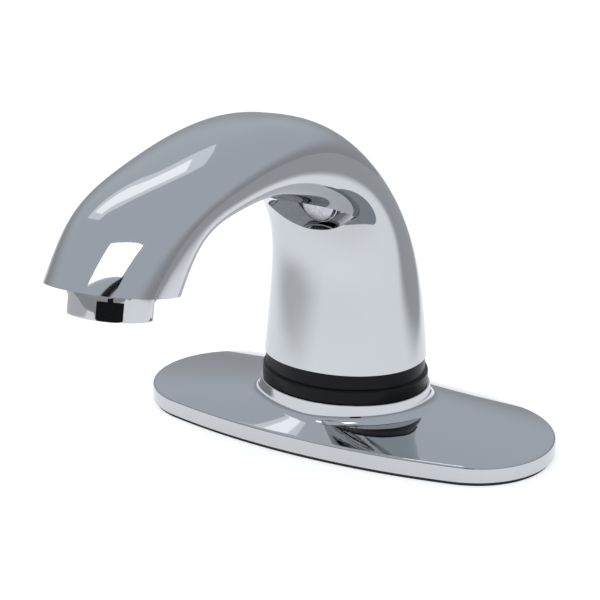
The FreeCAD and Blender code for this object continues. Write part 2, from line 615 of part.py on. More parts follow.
# ---------------------------------------------------------------- water inlet
def make_inlet_fitting():
    """The threaded inlet below the insert, with its spigot in the valve."""
    hex_foot = f"({FLANGE_FOOT} - inlet_hex_height)"
    groove = f"({NECK_HEAD} + inlet_groove_start)"
    solid = hexagon("inlet_across", hex_foot, FLANGE_FOOT, VALVE_X, "valve_y").fuse([
        cylinder("inlet_shank_radius - fit", FLANGE_FOOT, NECK_HEAD, VALVE_X, "valve_y"),
        cylinder("inlet_spigot_radius", NECK_HEAD, f"{NECK_HEAD} + inlet_spigot_length",
                 VALVE_X, "valve_y")])
    ring = cylinder("inlet_spigot_radius + inlet_groove_depth", groove, f"{groove} + inlet_groove_width",
                    VALVE_X, "valve_y").cut(
        cylinder("inlet_spigot_radius - inlet_groove_depth", groove,
                 f"{groove} + inlet_groove_width", VALVE_X, "valve_y"))
    thread_head = f"({hex_foot} + inlet_thread_length)"
    tools = [ring,
             cylinder("inlet_thread_radius", hex_foot, thread_head, VALVE_X, "valve_y"),
             cylinder("strainer_radius + fit", thread_head, f"{thread_head} + strainer_seat",
                      VALVE_X, "valve_y"),
             cylinder("inlet_bore", thread_head, f"{NECK_HEAD} + inlet_spigot_length",
                      VALVE_X, "valve_y")]
    return made("inlet_fitting", solid.cut(tools).removeSplitter())


def make_inlet_o_ring():
    """The O-ring in the groove of the inlet spigot."""
    ring = doc.addObject("Part::Torus", "inlet_o_ring")
    ring.setExpression("Radius1", bound("inlet_spigot_radius - inlet_groove_depth / 2 + fit / 2"))
    ring.setExpression("Radius2", bound("inlet_groove_depth / 2"))
    return place(ring, VALVE_X, "valve_y", f"{NECK_HEAD} + inlet_groove_start + inlet_groove_width / 2")


def make_strainer():
    """A disc with rings of fine holes, at the end of the inlet thread."""
    screen = turned("strainer_screen", tube("0", "strainer_radius", "0", "strainer_thick"))
    drill_ring(screen, "strainer_hole", "strainer_pitch", "strainer_holes")
    return place(screen, VALVE_X, "valve_y",
                 f"{FLANGE_FOOT} - inlet_hex_height + inlet_thread_length + strainer_seat - strainer_thick")


# ---------------------------------------------------------------- solenoid valve
def make_valve_body():
    """The valve's body: socket for the inlet, ring channel round the seat, side outlet."""
    at = (VALVE_X, "valve_y")
    lobe = (f"{VALVE_X} + lobe_x", "valve_y + lobe_y")
    outlet_foot = f"({VALVE_BLOCK} + lobe_height)"
    solid = cylinder("valve_neck_radius", NECK_HEAD, VALVE_BLOCK, *at)
    solid = solid.fuse(block("valve_side", "valve_side", VALVE_BLOCK, VALVE_HEAD, *at, "valve_corner"))
    middle = Vector(mm(at[0]), mm(at[1]), mm(f"{VALVE_HEAD} - lobe_radius"))
    along = Vector(mm("lobe_x"), mm("lobe_y"), 0)
    turn = Rotation(Vector(1, 0, 0), along)
    half, height = mm("lobe_radius - lobe_step"), mm("lobe_radius")
    web = Part.makeBox(along.Length, 2 * half, 2 * height, Vector(0, -half, -height))
    web.Placement = Placement(middle, turn)
    solid = solid.fuse([web, cylinder("lobe_radius", VALVE_BLOCK, outlet_foot, *lobe)])
    channel_foot = f"({VALVE_HEAD} - valve_channel_depth)"
    channel = cylinder("valve_channel_radius", channel_foot, VALVE_HEAD, *at).cut(
        cylinder("inlet_bore + valve_seat_width", channel_foot, VALVE_HEAD, *at))
    port_level = f"({channel_foot} + valve_port_radius + valve_port_lift)"
    begin = mm("(inlet_bore + valve_seat_width + valve_channel_radius) / 2")
    port = Part.makeCylinder(mm("valve_port_radius"), along.Length - begin, Vector(begin, 0, 0),
                             Vector(1, 0, 0))
    port.Placement = Placement(Vector(mm(at[0]), mm(at[1]), mm(port_level)), turn)
    tools = [channel, port,
             cylinder("inlet_spigot_radius + fit", NECK_HEAD,
                      f"{NECK_HEAD} + inlet_spigot_length + fit", *at),
             cylinder("inlet_bore", NECK_HEAD, VALVE_HEAD, *at),
             cylinder("tube_bore", f"{port_level} - tube_bore", outlet_foot, *lobe),
             cylinder("tube_radius + fit", f"{outlet_foot} - socket_depth", outlet_foot, *lobe)]
    for right in (1, -1):
        for back in (1, -1):
            tools.append(cylinder("bonnet_screw_radius + fit / 2",
                                  f"{VALVE_HEAD} - bonnet_screw_depth - screw_tip_room", VALVE_HEAD,
                                  f"{VALVE_X} + {right} * bonnet_screw_place",
                                  f"valve_y + {back} * bonnet_screw_place"))
    return made("valve_body", solid.cut(tools).removeSplitter())


def make_diaphragm():
    """The rubber disc that closes the seat, with its pilot hole."""
    disc = turned("diaphragm", [
        ("pilot_radius", "0"), ("diaphragm_radius", "0"), ("diaphragm_radius", "diaphragm_thick"),
        ("diaphragm_boss", "diaphragm_thick"),
        ("diaphragm_boss", "diaphragm_thick + diaphragm_boss_height"),
        ("pilot_radius", "diaphragm_thick + diaphragm_boss_height")])
    return place(disc, VALVE_X, "valve_y", VALVE_HEAD)


def make_valve_bonnet():
    """The bonnet that clamps the diaphragm, with the guide tube of the plunger."""
    at = (VALVE_X, "valve_y")
    solid = block("valve_side", "valve_side", VALVE_HEAD, BONNET_HEAD, *at, "valve_corner").fuse([
        cylinder("guide_radius", BONNET_HEAD, GUIDE_HEAD, *at),
        cylinder("guide_stud_radius", GUIDE_HEAD, f"{GUIDE_HEAD} + guide_stud_height", *at)])
    recess = f"({VALVE_HEAD} + diaphragm_thick)"
    tools = [cylinder("diaphragm_radius + fit", VALVE_HEAD, recess, *at),
             cylinder("bonnet_chamber_radius", VALVE_HEAD, f"{recess} + bonnet_chamber_height", *at),
             cylinder("plunger_radius + fit", VALVE_HEAD, f"{GUIDE_HEAD} - guide_roof", *at)]
    for right in (1, -1):
        for back in (1, -1):
            tools.append(cylinder("bonnet_screw_radius + fit", VALVE_HEAD, BONNET_HEAD,
                                  f"{VALVE_X} + {right} * bonnet_screw_place",
                                  f"valve_y + {back} * bonnet_screw_place"))
    return made("valve_bonnet", solid.cut(tools).removeSplitter())


def make_bonnet_screws():
    """Four small screws at the corners of the bonnet."""
    screws = []
    for right in (1, -1):
        for back in (1, -1):
            at = (f"{VALVE_X} + {right} * bonnet_screw_place", f"valve_y + {back} * bonnet_screw_place")
            head = cylinder("bonnet_screw_head", BONNET_HEAD, f"{BONNET_HEAD} + bonnet_screw_rise", *at)
            shank = cylinder("bonnet_screw_radius", f"{VALVE_HEAD} - bonnet_screw_depth", BONNET_HEAD, *at)
            screws.append(head.fuse(shank).removeSplitter())
    return made("bonnet_screws", Part.makeCompound(screws))


PLUNGER_FOOT = f"({VALVE_HEAD} + diaphragm_thick + diaphragm_boss_height + plunger_gap)"
PLUNGER_HEAD = f"({PLUNGER_FOOT} + plunger_length)"


def make_plunger():
    """The steel plunger that opens the pilot hole, with a pocket for its spring."""
    plunger = turned("plunger", [
        ("0", "0"), ("plunger_tip", "0"), ("plunger_radius", "plunger_taper"),
        ("plunger_radius", "plunger_length"), ("plunger_pocket_radius", "plunger_length"),
        ("plunger_pocket_radius", "plunger_length - plunger_pocket_depth"),
        ("0", "plunger_length - plunger_pocket_depth")])
    return place(plunger, VALVE_X, "valve_y", PLUNGER_FOOT)


def make_plunger_spring():
    """The spring that closes the plunger, from its pocket to the roof of the guide."""
    spring = made("plunger_spring", coil("plunger_spring_wire / 2", "plunger_spring_radius",
                                         "plunger_spring_turns", "0",
                                         f"{GUIDE_HEAD} - guide_roof - {PLUNGER_HEAD}"
                                         " + plunger_pocket_depth - spring_play * 2"))
    return place(spring, VALVE_X, "valve_y", f"{PLUNGER_HEAD} - plunger_pocket_depth + spring_play")


def make_solenoid_coil():
    """The moulded coil round the guide tube, held by a nut."""
    at = (VALVE_X, "valve_y")
    solid = cylinder("coil_radius", COIL_FOOT, COIL_HEAD, *at)
    rims = edges_at(solid, mm(COIL_FOOT)) + edges_at(solid, mm(COIL_HEAD))
    solid = solid.makeFillet(mm("coil_round"), rims)
    return made("solenoid_coil", solid.cut(cylinder("guide_radius + fit", COIL_FOOT, COIL_HEAD, *at)))


def make_coil_nut():
    """The washer-faced nut on the stud of the guide tube."""
    at = (VALVE_X, "valve_y")
    head = f"{COIL_HEAD} + coil_nut_height"
    nut = cylinder("coil_nut_face", COIL_HEAD, f"{COIL_HEAD} + coil_nut_washer", *at).fuse(
        hexagon("coil_nut_across", COIL_HEAD, head, *at))
    bore = cylinder("guide_stud_radius + fit", COIL_HEAD, head, *at)
    return made("coil_nut", nut.cut(bore).removeSplitter())


# ---------------------------------------------------------------- waterway tube
def bent_path(points, bend):
    """Straight runs joined by tangent arcs; each arc is as large as its runs allow. An arc
    of radius r through a turn of 2a takes r tan(a) from each of its runs."""
    edges, start = [], points[0]
    for before, corner, after in zip(points, points[1:], points[2:]):
        first, second = (before - corner), (after - corner)
        shorter = min(first.Length, second.Length)
        first.normalize()
        second.normalize()
        half_turn = (math.pi - first.getAngle(second)) / 2
        radius = min(bend, mm("tube_bend_share") * shorter / math.tan(half_turn))
        trim = radius * math.tan(half_turn)
        inward = (first + second).normalize()
        crest = corner + inward * (radius / math.cos(half_turn) - radius)
        into, out = corner + first * trim, corner + second * trim
        edges += [Part.LineSegment(start, into).toShape(), Part.Arc(into, crest, out).toShape()]
        start = out
    edges.append(Part.LineSegment(start, points[-1]).toShape())
    return Part.Wire(edges)


def make_waterway_tube():
    """The tube from the valve's outlet, past the switch and through the arch to the nose.
    Its corners keep their places beside the middles of the casting's stations."""
    start = Vector(mm(f"{VALVE_X} + lobe_x"), mm("valve_y + lobe_y"),
                   mm(f"{VALVE_BLOCK} + lobe_height - socket_depth"))
    seat, along = tube_end()[:2]
    finish = seat + along * mm("tube_plug - tube_seal_thick")
    points = [start, start + Vector(0, 0, mm("tube_first_rise")),
              middle_of("shoulder") + Vector(mm("tube_side_x"), mm("tube_side_y"), mm("tube_side_z")),
              middle_of("throat") + Vector(mm("tube_corner_x"), mm("tube_corner_y"), mm("tube_corner_z")),
              middle_of("rise") + Vector(mm("tube_cross_x"), mm("tube_cross_y"), mm("tube_cross_z")),
              middle_of("crown") + Vector(0, mm("tube_crown_y"), mm("tube_crown_z")),
              (middle_of("reach") + middle_of("dip")) * 0.5
              + Vector(0, mm("tube_reach_y"), mm("tube_reach_z")),
              seat - along * mm("tube_straight"), finish]
    path = bent_path(points, mm("tube_bend"))
    walls = []
    for radius in (mm("tube_radius"), mm("tube_bore")):
        ring = Part.Wire(Part.makeCircle(radius, start, Vector(0, 0, 1)))
        walls.append(path.makePipeShell([ring], True, False))
    return made("waterway_tube", walls[0].cut(walls[1]))


def make_tube_seal():
    """The rubber ring at the end of the waterway tube, in the nose."""
    seat, along = tube_end()[:2]
    foot = seat + along * mm("tube_plug - tube_seal_thick")
    ring = Part.makeCylinder(mm("tube_radius"), mm("tube_seal_thick"), foot, along)
    return made("tube_seal", ring.cut(Part.makeCylinder(mm("outlet_drill"), mm("tube_seal_thick"),
                                                        foot, along)))


# ---------------------------------------------------------------- aerator
def at_outlet(piece, depth):
    """Seats a piece on the axis of the jet, its foot so far below the rim."""
    place(piece, "0", f"rim_y - ({depth}) * sin(rim_tilt)",
          f"{SPOUT_FOOT} + rim_z - ({depth}) * cos(rim_tilt)", "180 - rim_tilt")
    return piece


THREAD_HEAD = "(washer_thick - outlet_depth)"
COLLAR_FOOT = "(collar_gap + collar_height)"


def make_aerator_washer():
    washer = turned("aerator_washer",
                    tube("washer_inner", "outlet_radius - washer_slack", "0", "washer_thick"))
    return at_outlet(washer, "-outlet_depth")


def make_aerator_housing():
    """The threaded cup: a shank in the nose and a collar with wrench flats below it."""
    total = f"(collar_gap + collar_height - {THREAD_HEAD})"
    housing = turned("aerator_housing", [
        ("aerator_bore", "0"), ("outlet_radius - fit", "0"),
        ("outlet_radius - fit", f"collar_gap - {THREAD_HEAD}"),
        ("collar_radius", f"collar_gap - {THREAD_HEAD}"),
        ("collar_radius", f"{total} - collar_bevel"), ("collar_radius - collar_bevel", total),
        ("aerator_lip", total), ("aerator_lip", f"{total} - aerator_lip_height"),
        ("aerator_bore", f"{total} - aerator_lip_height")])
    sketch = outline_sketch(housing, "XY_Plane", "aerator_housing_flat", [
        ("collar_radius - flat_depth", "-collar_radius"), ("collar_radius * 2", "-collar_radius"),
        ("collar_radius * 2", "collar_radius"), ("collar_radius - flat_depth", "collar_radius")])
    sketch.AttachmentOffset = Placement(Vector(0, 0, mm(f"collar_gap - {THREAD_HEAD}")),
                                        Rotation(Vector(0, 0, 1), mm("flat_angle")))
    sketch.setExpression("AttachmentOffset.Base.z", bound(f"collar_gap - {THREAD_HEAD}"))
    flat = housing.newObject("PartDesign::Pocket", "aerator_housing_flat_cut")
    flat.Profile = sketch
    flat.Reversed = True
    flat.setExpression("Length", bound("flat_height"))
    repeat_cut(housing, flat, sketch, "flat_count")
    return at_outlet(housing, THREAD_HEAD)


def make_aerator_insides():
    """Flow regulator, mixing cone and stream straightener, stacked in the housing."""
    regulator = turned("flow_regulator", [
        ("0", "0"), ("aerator_bore - fit", "0"), ("aerator_bore - fit", "regulator_thick"),
        ("0", "regulator_thick")])
    drill_ring(regulator, "regulator_slot", "regulator_ring", "regulator_holes")
    at_outlet(regulator, f"{THREAD_HEAD} + stack_gap")
    mixer = turned("aerator_mixer", [
        ("0", "0"), ("mixer_nose", "0"), ("mixer_core", "mixer_height - mixer_wall"),
        ("aerator_bore - fit - mixer_wall", "mixer_height - mixer_wall"),
        ("aerator_bore - fit - mixer_wall", "0"), ("aerator_bore - fit", "0"),
        ("aerator_bore - fit", "mixer_height"), ("0", "mixer_height")])
    drill_ring(mixer, "regulator_slot", "(mixer_core + aerator_bore - mixer_wall) / 2", "regulator_holes")
    at_outlet(mixer, f"{THREAD_HEAD} + stack_gap * 2 + regulator_thick")
    radius = mm("aerator_bore - fit")
    disc = Part.makeCylinder(radius, mm("screen_thick"))
    pitch, hole = mm("screen_pitch"), mm("screen_hole")
    rings = int((radius - hole) / pitch)
    holes = []
    for row in range(-rings, rings + 1):
        for step in range(-rings, rings + 1):
            lean = 2 * math.pi / HEXAGON
            centre = Vector(pitch * (step + row * math.cos(lean)), pitch * row * math.sin(lean), 0)
            if centre.Length + hole < radius - mm("screen_edge"):
                holes.append(Part.makeCylinder(hole, mm("screen_thick"), centre))
    screen = made("stream_straightener", disc.cut(holes))
    return at_outlet(screen, f"{COLLAR_FOOT} - aerator_lip_height - screen_thick")


# ---------------------------------------------------------------- button in the throat
def at_button(piece, out):
    """Seats a piece on the button's axis, its foot so far out from the pocket's floor."""
    place(piece, "0", f"button_y - ({out}) * cos(button_pitch)",
          f"{SPOUT_FOOT} + button_z - ({out}) * sin(button_pitch)", "90 + button_pitch")
    return piece


SLEEVE_END = "(-pocket_wall - bracket_thick - nut_thick - sleeve_proud)"
CAP_SEAT = "(bezel_seal_thick + bezel_flange + button_travel + clip_gap)"
SPRING_SEAT = f"({SLEEVE_END} + bezel_floor)"
CLIP_HEAD = f"({SLEEVE_END} - clip_gap)"
STEM_END = f"({CLIP_HEAD} - clip_thick - stem_tail)"
PIN_HEAD = f"({STEM_END} - switch_gap)"
SWITCH_HEAD = f"({PIN_HEAD} - button_travel - switch_gap)"
BRACKET_END = f"({SWITCH_HEAD} - switch_thick)"


def make_button_bezel():
    """The sleeve through the pocket's floor, with the bright rim round the button."""
    face = "(bezel_seal_thick + bezel_flange)"
    bezel = turned("button_bezel", [
        ("cap_stem + fit", "0"), ("bezel_sleeve", "0"),
        ("bezel_sleeve", f"bezel_seal_thick - {SLEEVE_END}"),
        ("bezel_radius", f"bezel_seal_thick - {SLEEVE_END}"),
        ("bezel_radius", f"{face} + bezel_rim - {SLEEVE_END}"),
        ("bezel_inner", f"{face} + bezel_rim - {SLEEVE_END}"),
        ("bezel_inner", f"{face} - {SLEEVE_END}"),
        ("cap_spring_room", f"{face} - {SLEEVE_END}"), ("cap_spring_room", "bezel_floor"),
        ("cap_stem + fit", "bezel_floor")])
    return at_button(bezel, SLEEVE_END)


def make_bezel_seal():
    seal = turned("bezel_seal", tube("bezel_sleeve + fit", "bezel_radius - fit", "0", "bezel_seal_thick"))
    return at_button(seal, "0")


def make_button_cap():
    """The round cap and its stem; the cap is pressed and springs back."""
    foot = f"({CAP_SEAT} - {STEM_END})"
    cap = turned("button_cap", [
        ("0", "0"), ("cap_stem", "0"), ("cap_stem", foot), ("cap_radius", foot),
        ("cap_radius", f"{foot} + cap_thick - cap_bevel"),
        ("cap_radius - cap_bevel", f"{foot} + cap_thick"),
        ("cap_shoulder", f"{foot} + cap_thick + cap_shoulder_rise"),
        ("0", f"{foot} + cap_thick + cap_crown")])
    return at_button(cap, STEM_END)


def make_button_spring():
    """The spring round the stem, from the sleeve's floor to the cap."""
    spring = made("button_spring", coil("button_spring_wire / 2", "button_spring_radius",
                                        "button_spring_turns", "0",
                                        f"{CAP_SEAT} - {SPRING_SEAT} - spring_play * 2"))
    return at_button(spring, f"{SPRING_SEAT} + spring_play")


def make_button_clip():
    clip = turned("button_clip", tube("cap_stem", "clip_radius", "0", "clip_thick"))
    return at_button(clip, f"{CLIP_HEAD} - clip_thick")


def make_button_nut():
    """The thin nut that holds the sleeve and the switch bracket."""
    nut = hexagon("nut_across", "0", "nut_thick").cut(cylinder("bezel_sleeve + fit / 2", "0", "nut_thick"))
    return at_button(made("button_nut", nut), "-pocket_wall - bracket_thick - nut_thick")


def make_switch_bracket():
    """A U of spring steel under the nut that carries the switch behind the stem."""
    depth = f"(-pocket_wall - {BRACKET_END} + bracket_thick)"
    outer = block("bracket_half * 2 + bracket_thick * 2", "bracket_width", "0", depth)
    inner = block("bracket_half * 2", "bracket_width * 2", "bracket_thick", f"{depth} - bracket_thick")
    hole = cylinder("bezel_sleeve + fit", f"{depth} - bracket_thick * 2", depth)
    flange = block("bracket_half * 2", "(bezel_sleeve + bracket_rim) * 2",
                   f"{depth} - bracket_thick", depth)
    bracket = outer.cut(inner).fuse(flange).cut(hole).removeSplitter()
    return at_button(made("switch_bracket", bracket), f"{BRACKET_END} - bracket_thick")


def make_switch():
    """The sealed switch on the bracket, and the pin that the stem pushes in."""
    body = block("switch_side", "switch_side", "0", "switch_thick")
    well = f"(switch_thick - switch_pin_length + {PIN_HEAD} - {SWITCH_HEAD} - button_travel)"
    body = body.cut(cylinder("switch_pin_radius + fit", well, "switch_thick"))
    at_button(made("switch_body", body), BRACKET_END)
    pin_piece = turned("switch_pin", tube("0", "switch_pin_radius", "0", "switch_pin_length"))
    return at_button(pin_piece, f"{PIN_HEAD} - switch_pin_length")


# ---------------------------------------------------------------- sensor module
MODULE_FOOT = f"({NECK_HEAD} + module_lift)"
MODULE_HEAD = f"({MODULE_FOOT} + module_height)"


def make_module_case():
    """The moulded case of the sensing electronics on its hollow foot, open at the back."""
    at = ("module_x", "module_y")
    solid = block("module_length", "module_width", MODULE_FOOT, MODULE_HEAD, *at, "module_round")
    solid = solid.fuse(block("foot_length", "foot_width", NECK_HEAD, MODULE_FOOT, "gland_x", "gland_y",
                             "module_round"))
    cavity = block("module_length - module_wall * 2", "module_width", f"{MODULE_FOOT} + module_wall",
                   f"{MODULE_HEAD} - module_wall", "module_x", "module_y + module_wall")
    cable = cylinder("gland_bore", NECK_HEAD, f"{MODULE_FOOT} + module_wall * 2", "gland_x", "gland_y")
    return made("module_case", solid.cut([cavity, cable]).removeSplitter())


def make_module_insides():
    """The circuit board in the case and the lid that closes it."""
    back = "(module_y + module_width / 2)"
    length = "(module_length - module_wall * 2 - lid_slack)"
    foot = f"({MODULE_FOOT} + module_wall + lid_slack / 2)"
    head = f"({MODULE_HEAD} - module_wall - lid_slack / 2)"
    lid = block(length, "lid_thick", foot, head, "module_x", f"{back} - lid_thick / 2")
    made("module_lid", lid)
    board_y = "(module_y - module_width / 2 + module_wall * 2 + board_thick / 2)"
    board = block(length, "board_thick", foot, head, "module_x", board_y)
    chips = []
    for share in ("chip_low", "chip_middle", "chip_high"):
        level = f"({foot} + ({head} - {foot}) * {share})"
        chips.append(block(f"{length} * chip_share", "board_thick * 2", level, f"{level} + board_thick * 2",
                           "module_x", f"{board_y} + board_thick"))
    rails = [block("module_wall", f"{back} - lid_thick - {board_y} - board_thick / 2", foot, head,
                   f"module_x + {side} * ({length} - module_wall) / 2",
                   f"({back} - lid_thick + {board_y} + board_thick / 2) / 2") for side in (1, -1)]
    standoffs = [block("module_wall", "module_wall", foot, head,
                       f"module_x + {side} * ({length} - module_wall) / 2",
                       f"{board_y} - board_thick / 2 - module_wall / 2") for side in (1, -1)]
    made("circuit_board", board.fuse(chips + rails + standoffs).removeSplitter())


def make_contact_spring():
    """The leaf that ties the module to the casting, which senses the hand."""
    side = "(module_x + module_length / 2)"
    foot = f"({MODULE_HEAD} - contact_width)"
    leaf = block("contact_thick", "contact_width", foot, MODULE_HEAD,
                 f"{side} + contact_thick / 2", "module_y")
    return made("contact_spring", leaf)


def make_cable_gland():
    """The gland for the cable, with its rubber grommet, under the module."""
    at = ("gland_x", "gland_y")
    foot, head = f"({FLANGE_FOOT} - gland_head_height)", f"({FLANGE_FOOT} + gland_length)"
    solid = cylinder("gland_radius - fit", FLANGE_FOOT, head, *at)
    solid = solid.fuse(cylinder("gland_head_radius", foot, FLANGE_FOOT, *at))
    made("cable_gland", solid.cut(cylinder("gland_bore", foot, head, *at)).removeSplitter())
    grommet = turned("cable_grommet", tube("grommet_bore", "gland_bore - fit", "0", "grommet_length"))
    return place(grommet, *at, foot)


# ---------------------------------------------------------------- build, check and write
make_deck_gasket()
make_deck_plate()
make_base_ring()
make_ring_seals()
make_base_insert()
make_clamp_screws()
make_spout_body()
make_inlet_fitting()
make_inlet_o_ring()
make_strainer()
make_valve_body()
make_diaphragm()
make_valve_bonnet()
make_bonnet_screws()
make_plunger()
make_plunger_spring()
make_solenoid_coil()
make_coil_nut()
make_waterway_tube()
make_tube_seal()
make_aerator_washer()
make_aerator_housing()
make_aerator_insides()
make_bezel_seal()
make_button_bezel()
make_button_cap()
make_button_spring()
make_button_clip()
make_button_nut()
make_switch_bracket()
make_switch()
make_module_case()
make_module_insides()
make_contact_spring()
make_cable_gland()

doc.recompute()
for item in doc.Objects:
    if "Invalid" in item.State or "Error" in item.State:
        raise RuntimeError(f"{item.Label} failed: {item.State}")

pieces = [item for item in doc.Objects
          if item.TypeId in ("PartDesign::Body", "Part::Torus", "Part::Feature")]
for piece in pieces:
    if piece.Shape.isNull() or not piece.Shape.isValid() or not piece.Shape.Solids:
        raise RuntimeError(f"{piece.Label} has no valid solid")
for piece in pieces:
    piece.Shape.exportStep(f"parts/{piece.Label}.step")
    print(f"{piece.Label:22s} solids {len(piece.Shape.Solids)}  volume {piece.Shape.Volume:10.1f}")
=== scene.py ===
"""A touch-free basin tap on its deck plate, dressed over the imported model."""
import math

import bmesh
import bpy
import numpy as np
from mathutils import Matrix, Vector


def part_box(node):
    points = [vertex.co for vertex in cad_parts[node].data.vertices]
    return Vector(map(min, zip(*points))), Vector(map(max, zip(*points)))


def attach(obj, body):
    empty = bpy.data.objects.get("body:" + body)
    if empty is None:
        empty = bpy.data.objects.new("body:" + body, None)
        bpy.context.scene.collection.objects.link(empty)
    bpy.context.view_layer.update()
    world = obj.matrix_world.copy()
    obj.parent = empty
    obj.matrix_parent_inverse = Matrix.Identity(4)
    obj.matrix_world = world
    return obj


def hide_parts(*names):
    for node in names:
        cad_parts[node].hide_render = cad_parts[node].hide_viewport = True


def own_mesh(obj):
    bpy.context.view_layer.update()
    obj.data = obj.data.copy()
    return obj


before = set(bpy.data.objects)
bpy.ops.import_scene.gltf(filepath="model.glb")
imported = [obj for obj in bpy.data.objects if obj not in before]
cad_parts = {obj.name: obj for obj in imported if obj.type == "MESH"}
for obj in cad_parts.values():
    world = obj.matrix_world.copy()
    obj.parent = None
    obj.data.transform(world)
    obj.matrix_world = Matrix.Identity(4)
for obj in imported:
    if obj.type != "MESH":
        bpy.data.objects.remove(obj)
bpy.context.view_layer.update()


# ================================================================ camera
# The photograph's viewpoint, fitted to the outlines of plate, ring and spout: in front of the
# tap, to its right and a little above it. Place in metres, angles in degrees, lens in millimetres.
CAMERA_PLACE = (0.2144, -0.4047, 0.1992)
CAMERA_AZIMUTH, CAMERA_ELEVATION = 29.97, 18.35
LENS_LENGTH, SENSOR_WIDTH = 80.3, 36

camera_data = bpy.data.cameras.new("camera")
camera_data.lens = LENS_LENGTH
camera_data.sensor_width = SENSOR_WIDTH
camera = bpy.data.objects.new("camera", camera_data)
camera.location = CAMERA_PLACE
camera.rotation_euler = (math.radians(90 - CAMERA_ELEVATION), 0, math.radians(CAMERA_AZIMUTH))
bpy.context.scene.collection.objects.link(camera)
bpy.context.scene.camera = camera


# ================================================================ deck gasket
# The sheet of black closed-cell foam under the deck plate, cut to its outline and pierced for
# the studs, the hose and the cable. The plate presses it on the deck. It stays as built.
class Wire:
    """A node socket that takes part in Python expressions; each operator adds a node."""

    def __init__(self, tree, socket):
        self.tree, self.socket = tree, socket

    def join(self, socket, value):
        """Links a wire to a socket, or sets the socket to a plain value."""
        if isinstance(value, Wire):
            self.tree.links.new(value.socket, socket)
        else:
            socket.default_value = value

    def node(self, kind, settings=(), outputs=(0,), **sockets):
        """Adds a node of a type, with its settings and then the values or links of its sockets,
        each by name, or by number as in _6 where a name repeats. Gives the outputs as wires."""
        made = self.tree.nodes.new(kind)
        for name, value in dict(settings).items():
            setattr(made, name, value)
        for name, value in sockets.items():
            key = int(name[1:]) if name.startswith("_") else name.replace("_", " ")
            self.join(made.inputs[key], value)
        wires = [Wire(self.tree, made.outputs[name]) for name in outputs]
        return wires if len(wires) > 1 else wires[0]

    def maths(self, operation, first, second):
        """A Math node on two values or wires."""
        return self.node("ShaderNodeMath", {"operation": operation}, _0=first, _1=second)

    def __add__(self, other):
        return self.maths("ADD", self, other)

    def __radd__(self, other):
        return self.maths("ADD", other, self)

    def __sub__(self, other):
        return self.maths("SUBTRACT", self, other)

    def __rsub__(self, other):
        return self.maths("SUBTRACT", other, self)

    def __mul__(self, other):
        return self.maths("MULTIPLY", self, other)

    def __rmul__(self, other):
        return self.maths("MULTIPLY", other, self)

    def either(self, other):
        """The greater of two wires."""
        return self.maths("MAXIMUM", self, other)

    def between(self, low, high):
        """0 below low, 1 above high and a smooth step from one to the other."""
        return self.node("ShaderNodeMapRange", {"interpolation_type": "SMOOTHSTEP"},
                         Value=self, From_Min=low, From_Max=high)

    def blend(self, first, second):
        """The first colour where the wire is 0 and the second where it is 1."""
        return self.node("ShaderNodeMix", {"data_type": "RGBA"}, outputs=(2,),
                         _0=self, _6=first, _7=second)


def tint(colour, times=1):
    """A colour for a socket, so many times as bright."""
    return (*[part * times for part in colour], 1)


def finish_of(name, colour, **constants):
    """A new material: its Principled shader, and a wire on the piece's own coordinates."""
    material = bpy.data.materials.new(name)
    material.use_nodes = True
    tree = material.node_tree
    shader = tree.nodes["Principled BSDF"]
    shader.inputs["Base Color"].default_value = tint(colour)
    for socket, value in constants.items():
        shader.inputs[socket.replace("_", " ")].default_value = value
    place = Wire(tree, tree.nodes.new("ShaderNodeTexCoord").outputs["Object"])
    return material, shader, place


def grain(place, cells, detail=3.0, stretch=(1, 1, 1)):
    """Noise from 0 to 1 of so many cells per metre over a piece, times stretch on each axis, so
    that a stretch of 0.1 draws streaks ten cells long."""
    mapped = place.node("ShaderNodeMapping", Vector=place, Scale=stretch)
    return place.node("ShaderNodeTexNoise", Vector=mapped, Scale=cells, Detail=detail)


def relief(place, height, depth, under=None):
    """A bump so many metres deep from a height wire, on top of another normal if given."""
    normal = {} if under is None else {"Normal": under}
    return place.node("ShaderNodeBump", Height=height, Distance=depth, **normal)


def rubber_finish(name, colour, rough, pores):
    """Matt rubber or foam: over noise of so many pores per metre it pales to 1.9 times its
    colour and roughens by 0.15, and the pores are 0.05 mm deep."""
    material, shader, place = finish_of(name, colour)
    pitted = grain(place, cells=pores)
    place.join(shader.inputs["Base Color"], pitted.blend(tint(colour), tint(colour, times=1.9)))
    place.join(shader.inputs["Roughness"], rough + pitted * 0.15)
    place.join(shader.inputs["Normal"], relief(place, pitted, depth=0.00005))
    return material


def dress(names, material):
    """Gives nodes that stay as built their finish."""
    for name in names:
        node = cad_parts[name]
        node.data.materials.clear()
        node.data.materials.append(material)


dress(["deck_gasket"], rubber_finish("foam_gasket", (0.010, 0.010, 0.011), rough=0.65, pores=1400))


# ================================================================ deck plate
# The oval metal cover on the deck, chromed and polished: an upright edge, a crowned top and a
# filleted pedestal under the ring. It is a hollow cover, open to the deck below, and the
# mounting insert pulls on its pedestal from inside. Lengths in millimetres.
MILLIMETRE = 0.001
PLATE_LENGTH, PLATE_WIDTH, PLATE_END_RADIUS = 160.0, 72.6, 30.5
COLUMN_LENGTH, COLUMN_WIDTH, COLUMN_END_RADIUS = 60.0, 52.2, 24.0
PLATE_EDGE, CROWN_RISE, PLATE_WALL, NECK_INSET = 5.9, 4.6, 3.0, 6.55
PEDESTAL_SPREAD, PEDESTAL_DRAFT = 1.6, 0.9
EDGE_ROUND, PEDESTAL_ROUND, CORNER_ROUND = 1.5, 4.0, 0.3
CHROME_COLOUR, CHROME_SMOOTH, CHROME_WIPED = (0.55, 0.558, 0.57), 0.03, 0.08


def level(node, top):
    """Height of the top or foot of a built node above the deck."""
    low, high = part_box(node)
    return (high if top else low).z / MILLIMETRE


